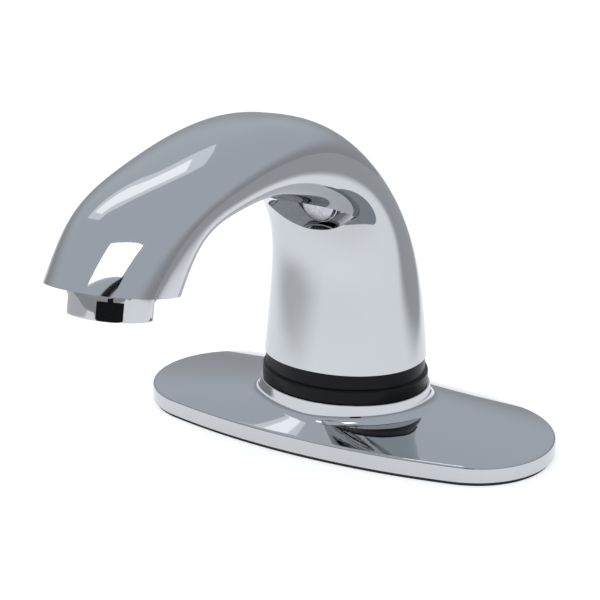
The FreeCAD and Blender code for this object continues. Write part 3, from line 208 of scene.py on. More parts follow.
def oval(length, width, end_radius, steps=40):
    """Points and outward normals of a four-arc oval: two end arcs joined by flatter arcs,
    whose radius puts them tangent to the ends."""
    half, rise = length / 2, width / 2
    centre = half - end_radius
    flat = (centre ** 2 + rise ** 2 - end_radius ** 2) / (2 * (rise - end_radius))
    lean = math.atan2(centre, flat - rise)
    share = np.arange(steps) / steps
    end = math.pi / 2 - lean
    angles = np.concatenate([-end + 2 * end * share, end + 2 * lean * share,
                             math.pi - end + 2 * end * share, math.pi + end + 2 * lean * share])
    normals = np.stack([np.cos(angles), np.sin(angles)], -1)
    side = np.repeat([1, 0, -1, 0], steps)[:, None] * [[centre, 0]]
    drop = np.repeat([0, rise - flat, 0, flat - rise], steps)[:, None] * [[0, 1]]
    radius = np.repeat([end_radius, flat, end_radius, flat], steps)[:, None]
    return side + drop + normals * radius, normals


def rounded(corners, radii, steps=8):
    """Profile lines with their corners rounded by arcs. corners is a list of (..., 2) arrays;
    each arc touches both of its runs at radius / tan(half the corner's angle)."""
    corners = [np.asarray(corner, float) for corner in corners]
    shape = np.broadcast_shapes(*[corner.shape for corner in corners])
    corners = [np.broadcast_to(corner, shape) for corner in corners]
    out = []
    for index, (corner, radius) in enumerate(zip(corners, radii)):
        if not radius:
            out.append(corner)
            continue
        to_last = corners[index - 1] - corner
        to_next = corners[(index + 1) % len(corners)] - corner
        to_last = to_last / np.linalg.norm(to_last, axis=-1, keepdims=True)
        to_next = to_next / np.linalg.norm(to_next, axis=-1, keepdims=True)
        half = np.arccos(np.clip((to_last * to_next).sum(-1), -1, 1))[..., None] / 2
        middle = to_last + to_next
        middle = middle / np.linalg.norm(middle, axis=-1, keepdims=True)
        centre = corner + middle * radius / np.sin(half)
        begin = corner + to_last * radius / np.tan(half) - centre
        end = corner + to_next * radius / np.tan(half) - centre
        span = math.pi - 2 * half
        for share in np.linspace(0, 1, steps):
            out.append(centre + (begin * np.sin((1 - share) * span) + end * np.sin(share * span))
                       / np.sin(span))
    return np.stack(out)


def plate_rings():
    """Rings from the foot of the edge over crown and pedestal, and back under the shell. Each
    point of the profile slides between the column's oval and the plate's, by its distance
    outwards from the pedestal's top."""
    inner = column_oval[0] + column_oval[1] * PEDESTAL_SPREAD
    run = plate_oval[0] - inner
    reach = np.linalg.norm(run, axis=1)
    crown_foot, crown_head = PLATE_FOOT + PLATE_EDGE, PLATE_FOOT + PLATE_EDGE + CROWN_RISE
    neck = -NECK_INSET - PEDESTAL_SPREAD
    distances = [reach, reach, PEDESTAL_DRAFT, 0, neck, neck,
                 -PLATE_WALL, -PLATE_WALL, reach - PLATE_WALL, reach - PLATE_WALL]
    heights = [PLATE_FOOT, crown_foot, crown_head, RING_FOOT, RING_FOOT, RING_FOOT - PLATE_WALL,
               RING_FOOT - PLATE_WALL, crown_head - PLATE_WALL, crown_foot - PLATE_WALL, PLATE_FOOT]
    corners = [np.stack(np.broadcast_arrays(distance, float(height)), -1)
               for distance, height in zip(distances, heights)]
    radii = [CORNER_ROUND, EDGE_ROUND, PEDESTAL_ROUND, CORNER_ROUND] + [0] * 6
    profile = rounded(corners, radii, steps=12)
    distance, height = profile[..., 0:1], profile[..., 1:2]
    plan = inner + run * distance / reach[:, None]
    return np.concatenate([plan, height], -1)


def mesh_of(name, rings, close=True, caps=False):
    """A mesh from rings of points in millimetres, with a quad between each point, the next on
    its ring and their two on the ring after. close joins the last ring to the first, and caps
    fill the end rings."""
    rows, columns = rings.shape[:2]
    row = np.arange(rows if close else rows - 1)
    first, second = np.meshgrid(row, np.arange(columns), indexing="ij")
    after, beside = (first + 1) % rows, (second + 1) % columns
    corners = [first * columns + second, first * columns + beside,
               after * columns + beside, after * columns + second]
    faces = np.stack(corners, -1).reshape(-1, 4).tolist()
    if caps:
        ring = np.arange(columns)
        faces += [ring[::-1].tolist(), (ring + (rows - 1) * columns).tolist()]
    mesh = bpy.data.meshes.new(name)
    mesh.from_pydata((rings.reshape(-1, 3) * MILLIMETRE).tolist(), [], faces)
    return mesh


def new_piece(name, mesh, material, body="tap_body", sharp=35):
    """An object of that mesh, smooth but for edges over so many degrees, on a body."""
    mesh.update()
    mesh.shade_smooth()
    mesh.set_sharp_from_angle(angle=math.radians(sharp))
    mesh.materials.append(material)
    piece = bpy.data.objects.new(name, mesh)
    bpy.context.scene.collection.objects.link(piece)
    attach(piece, body)
    return piece


def chrome_finish(name, colour, smooth, wiped):
    """Polished chrome plate: roughness = smooth + clouds x wipe marks x (wiped - smooth), on a
    ripple 0.012 mm deep with pores of under a thousandth of a millimetre."""
    material, shader, place = finish_of(name, colour, Metallic=1.0)
    clouds = grain(place, cells=38, detail=4.0)
    wipes = grain(place, cells=240, detail=2.0, stretch=(1, 1, 0.12))
    place.join(shader.inputs["Roughness"], smooth + clouds * wipes * (wiped - smooth))
    ripple = relief(place, grain(place, cells=90, detail=2.0), depth=0.000012)
    pores = grain(place, cells=2600, detail=2.0)
    place.join(shader.inputs["Normal"], relief(place, pores, depth=0.0000006, under=ripple))
    return material


PLATE_FOOT = level("deck_gasket", top=True)
RING_FOOT = level("base_ring", top=False)
CHROME = chrome_finish("polished_chrome", CHROME_COLOUR, CHROME_SMOOTH, CHROME_WIPED)
plate_oval = oval(PLATE_LENGTH, PLATE_WIDTH, PLATE_END_RADIUS)
column_oval = oval(COLUMN_LENGTH, COLUMN_WIDTH, COLUMN_END_RADIUS)
plate = new_piece("deck_cover", mesh_of("deck_cover", plate_rings()), CHROME)
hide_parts("deck_plate")


# ================================================================ base ring and its seals
# The black moulded ring that insulates the spout from the plate: a band just inside the
# column's outline over a wider lip with a rounded shoulder. One rubber seal lies in its foot,
# on the plate, and one in its head, under the spout. Lengths in millimetres.
LIP_HEIGHT, LIP_OVERHANG, BAND_INSET = 5.2, 0.9, 0.3
LIP_ROUND, LIP_FOOT_ROUND, BAND_FOOT_ROUND, BAND_HEAD_ROUND = 0.8, 0.4, 0.3, 0.4
SPOUT_FOOT = level("base_ring", top=True)


def along_oval(outline, profile):
    """A profile of (offset, height) carried round an oval: each offset runs along its normal."""
    points, normals = outline
    offset, height = profile[:, None, 0], profile[:, None, 1]
    plan = points[None] + normals[None] * offset[..., None]
    return np.concatenate([plan, np.broadcast_to(height, plan.shape[:2])[..., None]], -1)


def black_finish(name, colour, rough):
    """Moulded black polymer: rubs, where noise passes 0.62 to 0.8, pale to 2.2 times the colour
    and are duller by 0.12, over a satin grain 0.008 mm deep."""
    material, shader, place = finish_of(name, colour, Specular_IOR_Level=0.18)
    rubs = grain(place, cells=120, detail=4.0).between(0.62, 0.8)
    satin = grain(place, cells=900, detail=2.0)
    place.join(shader.inputs["Base Color"], rubs.blend(tint(colour), tint(colour, times=2.2)))
    place.join(shader.inputs["Roughness"], rough + rubs * 0.12 + satin * 0.06)
    place.join(shader.inputs["Normal"],
               relief(place, grain(place, cells=3000, detail=2.0), depth=0.000008))
    return material


BLACK_POLYMER = black_finish("black_polymer", (0.004, 0.004, 0.0045), rough=0.28)
lip_head = RING_FOOT + LIP_HEIGHT
ring_profile = rounded(
    [(LIP_OVERHANG, RING_FOOT), (LIP_OVERHANG, lip_head), (-BAND_INSET, lip_head),
     (-BAND_INSET, SPOUT_FOOT), (-NECK_INSET, SPOUT_FOOT), (-NECK_INSET, RING_FOOT)],
    [LIP_FOOT_ROUND, LIP_ROUND, BAND_FOOT_ROUND, BAND_HEAD_ROUND, 0, 0])
ring_mesh = mesh_of("isolating_ring", along_oval(column_oval, ring_profile))
ring = new_piece("isolating_ring", ring_mesh, BLACK_POLYMER)
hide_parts("base_ring")

BLACK_RUBBER = rubber_finish("black_rubber", (0.018, 0.018, 0.018), rough=0.5, pores=2200)
dress(["ring_foot_seal", "ring_head_seal"], BLACK_RUBBER)


# ================================================================ mounting insert and clamp screws
# The raw zinc casting in the foot: its flange pulls on the pedestal from below, its neck
# locates plate and ring, and it takes the studs from the deck. Four steel screws go through
# it from below into the spout and clamp all of them. They stay as built.
def metal_finish(name, colour, rough, marks=500, streak=(1, 1, 0.1)):
    """Bare metal: tool marks, so many per metre, that run one way and are 0.02 mm deep, over
    patches that dull it by 0.15; the darkest spots have 0.7 of the colour."""
    material, shader, place = finish_of(name, colour, Metallic=1.0)
    tooled = grain(place, cells=marks, stretch=streak)
    patches = grain(place, cells=60)
    worn = tooled * 0.6 + patches * 0.4
    place.join(shader.inputs["Base Color"], worn.blend(tint(colour, times=0.7), tint(colour)))
    place.join(shader.inputs["Roughness"], rough + patches * 0.15)
    place.join(shader.inputs["Normal"], relief(place, tooled, depth=0.00002))
    return material


STEEL = metal_finish("steel", (0.60, 0.61, 0.63), rough=0.25)
dress(["base_insert"],
      metal_finish("zinc_casting", (0.46, 0.47, 0.49), rough=0.42, marks=900, streak=(1, 1, 1)))
dress(["clamp_screws"], STEEL)


# ================================================================ water inlet
# The turned brass fitting for the hose, threaded below the insert, whose spigot seals in the
# valve with a rubber ring. A steel disc with rings of fine holes strains the water at the end
# of its thread. They stay as built.
BRASS = metal_finish("brass", (0.72, 0.53, 0.25), rough=0.24)
dress(["inlet_fitting"], BRASS)
dress(["inlet_o_ring"], BLACK_RUBBER)
dress(["strainer_screen"], STEEL)


# ================================================================ solenoid valve
# A white polymer body with a rubber diaphragm under a black bonnet, held by four steel screws.
# The steel plunger rises in the bonnet's guide tube, inside a varnished coil that a nut holds
# on, against a wire spring under the guide's roof. Merge distance in metres.
MERGE_DISTANCE = 0.000005


def moulded_finish(name, colour, rough):
    """Plain moulded polymer: a shade that drifts down to 0.86 of the colour, a roughness that
    varies by 0.12 and a grain 0.01 mm deep."""
    material, shader, place = finish_of(name, colour)
    drift = grain(place, cells=70, detail=2.0)
    sheen = grain(place, cells=800, detail=2.0)
    place.join(shader.inputs["Base Color"], drift.blend(tint(colour, times=0.86), tint(colour)))
    place.join(shader.inputs["Roughness"], rough + sheen * 0.12)
    place.join(shader.inputs["Normal"],
               relief(place, grain(place, cells=2500, detail=2.0), depth=0.00001))
    return material


def merged(mesh):
    """Joins points that lie together, which closes the poles and seams of a mesh."""
    form = bmesh.new()
    form.from_mesh(mesh)
    bmesh.ops.remove_doubles(form, verts=form.verts, dist=MERGE_DISTANCE)
    bmesh.ops.dissolve_degenerate(form, edges=form.edges, dist=MERGE_DISTANCE)
    form.to_mesh(mesh)
    form.free()
    return mesh


def coil_spring(name, node, axis):
    """A copy of the built spring, its loose triangles merged, in the built one's place."""
    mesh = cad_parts[node].data.copy()
    mesh.transform(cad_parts[node].matrix_world)
    mesh.materials.clear()
    spring = new_piece(name, merged(mesh), STEEL)
    points = np.empty(3 * len(mesh.vertices))
    mesh.vertices.foreach_get("co", points)
    points = points.reshape(-1, 3)
    axis = np.array(axis) / np.linalg.norm(axis)
    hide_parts(node)
    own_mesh(spring)


WHITE_POLYMER = moulded_finish("white_polymer", (0.80, 0.80, 0.78), rough=0.38)
dress(["valve_body"], WHITE_POLYMER)
dress(["diaphragm"], BLACK_RUBBER)
dress(["valve_bonnet"], BLACK_POLYMER)
dress(["bonnet_screws", "plunger", "coil_nut"], STEEL)
dress(["solenoid_coil"], moulded_finish("coil_varnish", (0.03, 0.03, 0.035), rough=0.3))
coil_spring("valve_return_spring", "plunger_spring", (0, 0, 1))


# ================================================================ waterway
# The white polymer tube that carries the water from the valve's side outlet through the arch
# to the nose, where a rubber ring seals its end. They stay as built.
dress(["waterway_tube"], WHITE_POLYMER)
dress(["tube_seal"], BLACK_RUBBER)


# ================================================================ spout
# The tap's main casting: column, arch and pointed nose in one, chromed all over. It is a
# skin over sections between a back point and a face point of the side view. Each station is
# (back y, back z, face y, face z, half width), z above the spout's foot, in millimetres.
SPOUT_BASE = (26.1, 0, -26.1, 0, 30.0)
SPOUT_STATIONS = [
    (21.9, 24.6, -22.4, 25.5, 27.5), (11.9, 46.8, -21.6, 43.5, 25.4),
    (-4.4, 66.8, -27.3, 55.8, 24.1), (-24.6, 83.6, -38.9, 63.8, 23.1),
    (-48.4, 94.3, -55.8, 69.2, 22.1), (-77.0, 95.4, -75.6, 72.5, 21.2),
    (-107.0, 90.1, -95.3, 71.9, 20.2), (-134.6, 79.6, -110.2, 67.4, 19.5)]
RIM_Y, RIM_Z, RIM_TILT, RIM_DEPTH, RIM_HALF = -133.6, 60.5, 12.5, 17.4, 18.7
FOOT_ROUNDNESS, ARCH_ROUNDNESS = 2.1, 2.45
POCKET_HALF, POCKET_ABOVE, POCKET_BELOW, POCKET_REACH = 16.5, 7.6, 7.5, 30
BUTTON_Y, BUTTON_Z, BUTTON_PITCH = -17.6, 59.4, 10.0
OUTLET_RADIUS, OUTLET_DEPTH = 11.65, 8.0
SPOUT_CREASE = 32


def smooth_through(knots, values, at):
    """A cubic through every value with its second slope continuous and nothing at the ends:
    the second slopes m solve h0 m0 + 2 (h0 + h1) m1 + h1 m2 = 6 (change of slope)."""
    knots, values = np.asarray(knots, float), np.asarray(values, float)
    gap = np.diff(knots)
    slope = np.diff(values, axis=0) / gap[:, None]
    size = len(knots)
    matrix, right = np.eye(size), np.zeros_like(values)
    for row in range(1, size - 1):
        matrix[row, row - 1:row + 2] = gap[row - 1], 2 * (gap[row - 1] + gap[row]), gap[row]
        right[row] = 6 * (slope[row] - slope[row - 1])
    bend = np.linalg.solve(matrix, right)
    span = np.clip(np.searchsorted(knots, at, side="right") - 1, 0, size - 2)
    width = gap[span][:, None]
    after, before = (at - knots[span])[:, None], (knots[span + 1] - at)[:, None]
    return ((bend[span] * before ** 3 + bend[span + 1] * after ** 3) / (6 * width)
            + (values[span] / width - bend[span] * width / 6) * before
            + (values[span + 1] / width - bend[span + 1] * width / 6) * after)


def spout_rings(lengthwise=260, around=200):
    """Rings of the casting: in each, |x / half|^n + |h / depth|^n = 1 about the middle of its
    back and face points; n swells from foot to arch and back as half a sine wave."""
    tilt = math.radians(RIM_TILT)
    reach = np.array([-math.cos(tilt), math.sin(tilt)]) * RIM_DEPTH
    centre = np.array([RIM_Y, RIM_Z])
    rows = np.array([SPOUT_BASE, *SPOUT_STATIONS, (*(centre + reach), *(centre - reach), RIM_HALF)])
    swell = np.sin(np.pi * np.arange(len(rows)) / (len(rows) - 1))
    rows = np.column_stack([rows, FOOT_ROUNDNESS + (ARCH_ROUNDNESS - FOOT_ROUNDNESS) * swell])
    middles = (rows[:, 0:2] + rows[:, 2:4]) / 2
    knots = np.concatenate([[0], np.cumsum(np.linalg.norm(np.diff(middles, axis=0), axis=1))])
    fine = smooth_through(knots, rows, np.linspace(0, knots[-1], lengthwise))
    back, face, half, power = fine[:, None, 0:2], fine[:, None, 2:4], fine[:, None, 4], fine[:, None, 5]
    turn = np.linspace(0, 2 * np.pi, around, endpoint=False)[None]
    across = np.sign(np.cos(turn)) * np.abs(np.cos(turn)) ** (2 / power)
    depth = np.sign(np.sin(turn)) * np.abs(np.sin(turn)) ** (2 / power)
    side_view = (back + face) / 2 + (back - face) / 2 * depth[..., None]
    return np.concatenate([(half * across)[..., None], side_view[..., :1],
                           side_view[..., 1:] + SPOUT_FOOT], -1)


def standing(y, z, turn):
    """A frame with its origin at (0, y, z) above the spout's foot and its Z turned so many
    degrees about X."""
    return Matrix.Translation((0, y, SPOUT_FOOT + z)) @ Matrix.Rotation(math.radians(turn), 4, "X")


def moved(points, placing):
    """Points of a local frame, placed in the tap's."""
    placing = np.array(placing)
    return points @ placing[:3, :3].T + placing[:3, 3]


def eye_cutter(half, above, below, reach, steps=60):
    """Two rings of the pocket's cutter: an arc over and an arc under the line between two
    corners, each of radius (half^2 + rise^2) / (2 rise)."""
    arcs = []
    for rise, way in ((above, 1), (-below, -1)):
        radius = (half ** 2 + rise ** 2) / (2 * abs(rise))
        sweep = math.asin(half / radius)
        angle = np.linspace(sweep, -sweep, steps, endpoint=False)
        arcs.append(np.stack([way * radius * np.sin(angle),
                              rise - way * radius + way * radius * np.cos(angle)], -1))
    plan = np.concatenate(arcs)
    return np.stack([np.column_stack([plan, np.full(len(plan), height)]) for height in (0, reach)])


def turned(profile, steps=96, squeeze=None):
    """A profile of (radius, height) turned about the Z axis; squeeze(angle, radius, height)
    may change the radius."""
    angle = np.linspace(0, 2 * math.pi, steps, endpoint=False)[None]
    radius, height = profile[:, None, 0] + 0 * angle, profile[:, None, 1] + 0 * angle
    if squeeze:
        radius = squeeze(angle, radius, height)
    return np.stack([radius * np.cos(angle), radius * np.sin(angle), height], -1)


def cut_away(piece, rings, name):
    """Cuts a capped prism of rings out of a piece, and keeps nothing of the cutter."""
    mesh = mesh_of(name, rings, close=False, caps=True)
    form = bmesh.new()
    form.from_mesh(mesh)
    bmesh.ops.recalc_face_normals(form, faces=form.faces)
    form.to_mesh(mesh)
    form.free()
    cutter = bpy.data.objects.new(name, mesh)
    bpy.context.scene.collection.objects.link(cutter)
    cut = piece.modifiers.new(name, "BOOLEAN")
    cut.object, cut.operation, cut.solver = cutter, "DIFFERENCE", "EXACT"
    whole = bpy.context.evaluated_depsgraph_get()
    result = bpy.data.meshes.new_from_object(piece.evaluated_get(whole))
    piece.modifiers.clear()
    piece.data = result
    bpy.data.objects.remove(cutter)


button_place = standing(BUTTON_Y, BUTTON_Z, 90 + BUTTON_PITCH)
outlet_place = standing(RIM_Y, RIM_Z, 180 - RIM_TILT)
outlet_profile = np.array([(OUTLET_RADIUS, -OUTLET_DEPTH), (OUTLET_RADIUS, OUTLET_DEPTH)])
spout = new_piece("spout", mesh_of("spout", spout_rings(), close=False, caps=True), CHROME)
pocket = eye_cutter(POCKET_HALF, POCKET_ABOVE, POCKET_BELOW, POCKET_REACH)
cut_away(spout, moved(pocket, button_place), "pocket")
cut_away(spout, moved(turned(outlet_profile), outlet_place), "outlet")
merged(spout.data).shade_smooth()
spout.data.set_sharp_from_angle(angle=math.radians(SPOUT_CREASE))
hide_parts("spout_body")


# ================================================================ aerator
# A turned and chromed housing, a threaded cup screwed into the nose by four wrench flats. The
# washer over it and the polymer regulator, mixer and straightener stacked in it stay as
# built. Lengths in millimetres along the jet from the spout's rim.
COLLAR_RADIUS, COLLAR_GAP, COLLAR_HEIGHT, COLLAR_BEVEL = 12.1, 0.4, 7.2, 0.6
AERATOR_BORE, AERATOR_LIP, LIP_THICK = 10.2, 9.2, 1.4
FLAT_DEPTH, FLAT_HEIGHT, FLAT_ANGLE, FLAT_COUNT = 0.65, 5.4, 54.0, 4
THREAD_SLACK, HEAD_ROOM, SHOULDER_STEP, FLAT_WALL = 0.1, 1.6, 0.05, 0.5
COLLAR_HEAD_ROUND, COLLAR_LIP_ROUND, COLLAR_CREASE = 0.3, 0.2, 25


def with_flats(angle, radius, height):
    """Cuts the radius to each flat's line, distance / cos(angle from the flat's middle),
    below the shoulder that the flats leave at the collar's head."""
    step = 2 * np.pi / FLAT_COUNT
    off = (angle - math.radians(FLAT_ANGLE) + step / 2) % step - step / 2
    line = (COLLAR_RADIUS - FLAT_DEPTH) / np.cos(off)
    on_flat = (height > shoulder) & (radius > AERATOR_BORE + FLAT_WALL)
    return np.where(on_flat, np.minimum(radius, line), radius)


collar_foot = COLLAR_GAP + COLLAR_HEIGHT
shoulder = collar_foot - FLAT_HEIGHT
thread_radius, thread_head = OUTLET_RADIUS - THREAD_SLACK, HEAD_ROOM - OUTLET_DEPTH
housing_profile = rounded(
    [(thread_radius, thread_head), (thread_radius, COLLAR_GAP), (COLLAR_RADIUS, COLLAR_GAP),
     (COLLAR_RADIUS, shoulder), (COLLAR_RADIUS, shoulder + SHOULDER_STEP),
     (COLLAR_RADIUS, collar_foot), (AERATOR_LIP, collar_foot), (AERATOR_LIP, collar_foot - LIP_THICK),
     (AERATOR_BORE, collar_foot - LIP_THICK), (AERATOR_BORE, thread_head)],
    [0, 0, COLLAR_HEAD_ROUND, 0, 0, COLLAR_BEVEL, COLLAR_LIP_ROUND, 0, 0, 0], steps=6)
housing_rings = moved(turned(housing_profile, 192, with_flats), outlet_place)
housing = new_piece("aerator_collar", mesh_of("aerator_collar", housing_rings), CHROME,
                    sharp=COLLAR_CREASE)
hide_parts("aerator_housing")

GREY_POLYMER = moulded_finish("grey_polymer", (0.33, 0.34, 0.35), rough=0.4)
dress(["aerator_washer"], BLACK_RUBBER)
dress(["flow_regulator"], GREY_POLYMER)
dress(["aerator_mixer", "stream_straightener"], WHITE_POLYMER)


# ================================================================ button cap
# A satin metal cap on a stem, slightly crowned, that slides in the bezel and is held by a
# clip on the stem's end. Lengths in millimetres out of the pocket's floor.
CAP_RADIUS, CAP_THICK, CAP_CROWN, CAP_BEVEL, CAP_FOOT_ROUND = 6.1, 1.4, 0.35, 0.4, 0.1
CAP_STEM, CAP_SEAT, STEM_END = 1.5, 2.15, -4.85
POLE_RADIUS, POLE_SHARE = 0.001, 0.0002


def satin_finish(name, colour):
    """Blasted metal: specks between 0.72 of the colour and all of it, in pits 0.03 mm deep,
    with a roughness of 0.34 to 0.5."""
    material, shader, place = finish_of(name, colour, Metallic=1.0)
    specks = grain(place, cells=1500, detail=4.0)
    sheen = grain(place, cells=700, detail=2.0)
    place.join(shader.inputs["Base Color"],
               specks.between(0.35, 0.75).blend(tint(colour, times=0.72), tint(colour)))
    place.join(shader.inputs["Roughness"], 0.34 + sheen * 0.16)
    place.join(shader.inputs["Normal"], relief(place, specks, depth=0.00003))
    return material


cap_head = CAP_SEAT + CAP_THICK
cap_side = rounded([(POLE_RADIUS, STEM_END), (CAP_STEM, STEM_END), (CAP_STEM, CAP_SEAT),
                    (CAP_RADIUS, CAP_SEAT), (CAP_RADIUS, cap_head), (POLE_RADIUS, cap_head)],
                   [0, 0, 0, CAP_FOOT_ROUND, CAP_BEVEL, 0], steps=6)
inwards = np.linspace(1, POLE_SHARE, 24)
dome = np.stack([(CAP_RADIUS - CAP_BEVEL) * inwards, cap_head + CAP_CROWN * (1 - inwards ** 2)], -1)
cap_rings = moved(turned(np.concatenate([cap_side[:-1], dome])), button_place)
cap = new_piece("push_button", mesh_of("push_button", cap_rings, close=False, caps=True),
                satin_finish("satin_button", (0.74, 0.75, 0.77)), "button")
merged(cap.data)
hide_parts("button_cap")


# ================================================================ button bezel
# The bright turned ring round the cap, chromed, with a sleeve through the pocket's floor. A
# rubber seal lies under its flange and a brass nut holds it from behind. Millimetres.
BEZEL_RADIUS, BEZEL_INNER, BEZEL_SLEEVE, STEM_SLACK = 7.1, 6.4, 5.0, 0.05
BEZEL_SEAL, BEZEL_FLANGE, BEZEL_RIM = 0.5, 0.6, 1.2
RIM_OUTER_ROUND, RIM_INNER_ROUND = 0.3, 0.25
SLEEVE_END, SLEEVE_FLOOR, SPRING_ROOM = -4.3, 1.5, 3.8

bezel_face = BEZEL_SEAL + BEZEL_FLANGE
rim_head, floor_head, stem_hole = bezel_face + BEZEL_RIM, SLEEVE_END + SLEEVE_FLOOR, CAP_STEM + STEM_SLACK
bezel_profile = rounded(
    [(stem_hole, SLEEVE_END), (BEZEL_SLEEVE, SLEEVE_END), (BEZEL_SLEEVE, BEZEL_SEAL),
     (BEZEL_RADIUS, BEZEL_SEAL), (BEZEL_RADIUS, rim_head), (BEZEL_INNER, rim_head),
     (BEZEL_INNER, bezel_face), (SPRING_ROOM, bezel_face), (SPRING_ROOM, floor_head),
     (stem_hole, floor_head)],
    [0, 0, 0, 0, RIM_OUTER_ROUND, RIM_INNER_ROUND, 0, 0, 0, 0], steps=6)
bezel_mesh = mesh_of("button_bezel_ring", moved(turned(bezel_profile), button_place))
bezel = new_piece("button_bezel_ring", bezel_mesh, CHROME)
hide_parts("button_bezel")

dress(["bezel_seal"], BLACK_RUBBER)
dress(["button_nut"], BRASS)


# ================================================================ button spring and switch
# Behind the cap a wire spring in the sleeve, a steel clip on the stem, and a small sealed
# switch in grey polymer on a steel bracket, whose white pin the stem pushes. All but the
# spring stay as built. The press runs inwards and 10 degrees upwards. Travel in metres.
PRESS_WAY, PRESS_TRAVEL = (0, 0.984808, 0.173648), 0.001

coil_spring("button_return_spring", "button_spring", PRESS_WAY)
dress(["button_clip", "switch_bracket"], STEEL)
dress(["switch_body"], GREY_POLYMER)
dress(["switch_pin"], WHITE_POLYMER)


# ================================================================ electronics
# A black polymer case on a hollow foot, closed by a grey lid, round a green circuit board. A
# leaf of spring steel ties the module to the spout, which senses the hand, and the cable
# leaves below through a rubber grommet in a brass gland. They stay as built.
dress(["module_case"], BLACK_POLYMER)
dress(["module_lid"], GREY_POLYMER)
dress(["circuit_board"], moulded_finish("green_board", (0.03, 0.22, 0.09), rough=0.35))
dress(["contact_spring"], STEEL)
dress(["cable_gland"], BRASS)
dress(["cable_grommet"], BLACK_RUBBER)


# ================================================================ floor
# A plain pale floor, six metres wide. It is white where the camera looks, and greys outside
# the camera's view on two sides of the tap, which shows only in the chrome. Each grey side is
# the product of two smooth steps, each along a direction over the floor, in metres.
FLOOR_SHADE, FLOOR_GLOW, FLOOR_HALF, FLOOR_ROUGH = (0.80, 0.80, 0.80), 0.60, 3, 0.9
RIGHT_STEPS = (((1, 0.3), (0.10, 0.16)), ((0, 1), (0.05, 0.17)))
LEFT_STEPS = (((-1, 0.35), (0.0, 0.24)), ((-0.728, -0.685), (0.13, 0.34)))
RIGHT_GREY, LEFT_GREY = 0.58, 0.40
BLACK, WHITE = (0, 0, 0, 1), (1, 1, 1, 1)


def grey_side(steps):
    """0 to 1: the product of the steps, each smooth between two distances along its way."""
    first, second = [(way[0] * east + way[1] * north).between(*ends) for way, ends in steps]
    return first * second


floor_material, floor_shader, floor_place = finish_of("floor_white", FLOOR_SHADE, Roughness=FLOOR_ROUGH)
east, north = floor_place.node("ShaderNodeSeparateXYZ", outputs=("X", "Y"), Vector=floor_place)
pale = (1 - RIGHT_GREY * grey_side(RIGHT_STEPS)) * (1 - LEFT_GREY * grey_side(LEFT_STEPS))
camera_ray, glossy_ray, clear_ray = floor_place.node(
    "ShaderNodeLightPath", outputs=("Is Camera Ray", "Is Glossy Ray", "Is Transmission Ray"))
looked_at = camera_ray.either(glossy_ray).either(clear_ray)
floor_place.join(floor_shader.inputs["Base Color"], pale.blend(BLACK, tint(FLOOR_SHADE)))
floor_place.join(floor_shader.inputs["Emission Color"], (looked_at * pale).blend(BLACK, WHITE))
floor_shader.inputs["Emission Strength"].default_value = FLOOR_GLOW

floor_mesh = bpy.data.meshes.new("floor")
floor_corners = [(east_side * FLOOR_HALF, north_side * FLOOR_HALF, 0)
                 for east_side, north_side in ((-1, -1), (1, -1), (1, 1), (-1, 1))]
floor_mesh.from_pydata(floor_corners, [], [(0, 1, 2, 3)])
floor_mesh.materials.append(floor_material)
floor = bpy.data.objects.new("floor", floor_mesh)
bpy.context.scene.collection.objects.link(floor)


# ================================================================ surround
# The grey room round the tap that its chrome mirrors: darker near the floor and bluer
# overhead, blended by the height of the direction, 0 at the horizon and 1 at the zenith.
LOW_SURROUND, HIGH_SURROUND = (0.38, 0.39, 0.41), (0.56, 0.61, 0.67)
SURROUND_RISE = (0.05, 0.45)

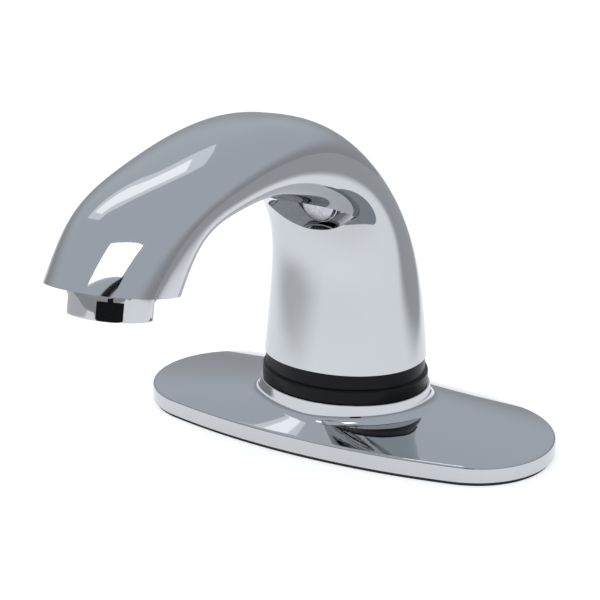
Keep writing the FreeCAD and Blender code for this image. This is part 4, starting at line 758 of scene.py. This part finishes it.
world = bpy.data.worlds.new("studio")
bpy.context.scene.world = world
world.use_nodes = True
tree = world.node_tree
direction = Wire(tree, tree.nodes.new("ShaderNodeTexCoord").outputs["Generated"])
height = direction.node("ShaderNodeSeparateXYZ", outputs=("Z",), Vector=direction)
surround = height.between(*SURROUND_RISE).blend(tint(LOW_SURROUND), tint(HIGH_SURROUND))
surround.join(tree.nodes["Background"].inputs["Color"], surround)


# ================================================================ lamps and cards
# Two soft lamps over the arch's left side, one inside the other, a wide one above the nose,
# and two black cards that give the chrome its dark edges. Metres; shine is the brightness of a
# lamp's face in times white.
ARCH, NOSE, AERATOR = (-0.02, -0.12, 0.125), (0.0, -0.14, 0.09), (-0.005, -0.14, 0.085)
CARD_SHADE = (0.01, 0.01, 0.01)


def turned_to(place, target):
    """The turn that points an object's -Z from its place to a target."""
    return (Vector(target) - Vector(place)).to_track_quat("-Z", "Y")


def lamp(name, place, target, size, shine):
    """A soft rectangular lamp of watts = pi x area x shine."""
    data = bpy.data.lights.new(name, "AREA")
    data.shape = "RECTANGLE"
    data.size, data.size_y = size
    data.energy = math.pi * size[0] * size[1] * shine
    light = bpy.data.objects.new(name, data)
    light.location = place
    light.rotation_euler = turned_to(place, target).to_euler()
    bpy.context.scene.collection.objects.link(light)


def black_card(name, place, target, size):
    """A matt black card turned to a target. From behind the tap it would stand in the view, so
    only its reflections show."""
    across, up = size[0] / 2, size[1] / 2
    turn = turned_to(place, target).to_matrix()
    corners = [Vector(place) + turn @ Vector(corner) for corner in
               ((-across, -up, 0), (across, -up, 0), (across, up, 0), (-across, up, 0))]
    mesh = bpy.data.meshes.new(name)
    mesh.from_pydata(corners, [], [(0, 1, 2, 3)])
    mesh.materials.append(finish_of(name, CARD_SHADE, Roughness=1.0)[0])
    card = bpy.data.objects.new(name, mesh)
    card.visible_camera = False
    bpy.context.scene.collection.objects.link(card)


lamp("left_strip", (-0.185, 0.003, 0.34), ARCH, size=(0.19, 0.045), shine=0.50)
lamp("left_halo", (-0.187, 0.005, 0.343), ARCH, size=(0.25, 0.085), shine=0.35)
lamp("front_box", (-0.005, -0.335, 0.49), NOSE, size=(0.33, 0.12), shine=2.4)
black_card("front_edge", (0.05, -0.410, 0.436), NOSE, size=(0.26, 0.022))
black_card("low_card", (0.36, -0.66, 0.10), AERATOR, size=(0.16, 0.16))
bpy.context.scene.view_settings.view_transform = "Standard"
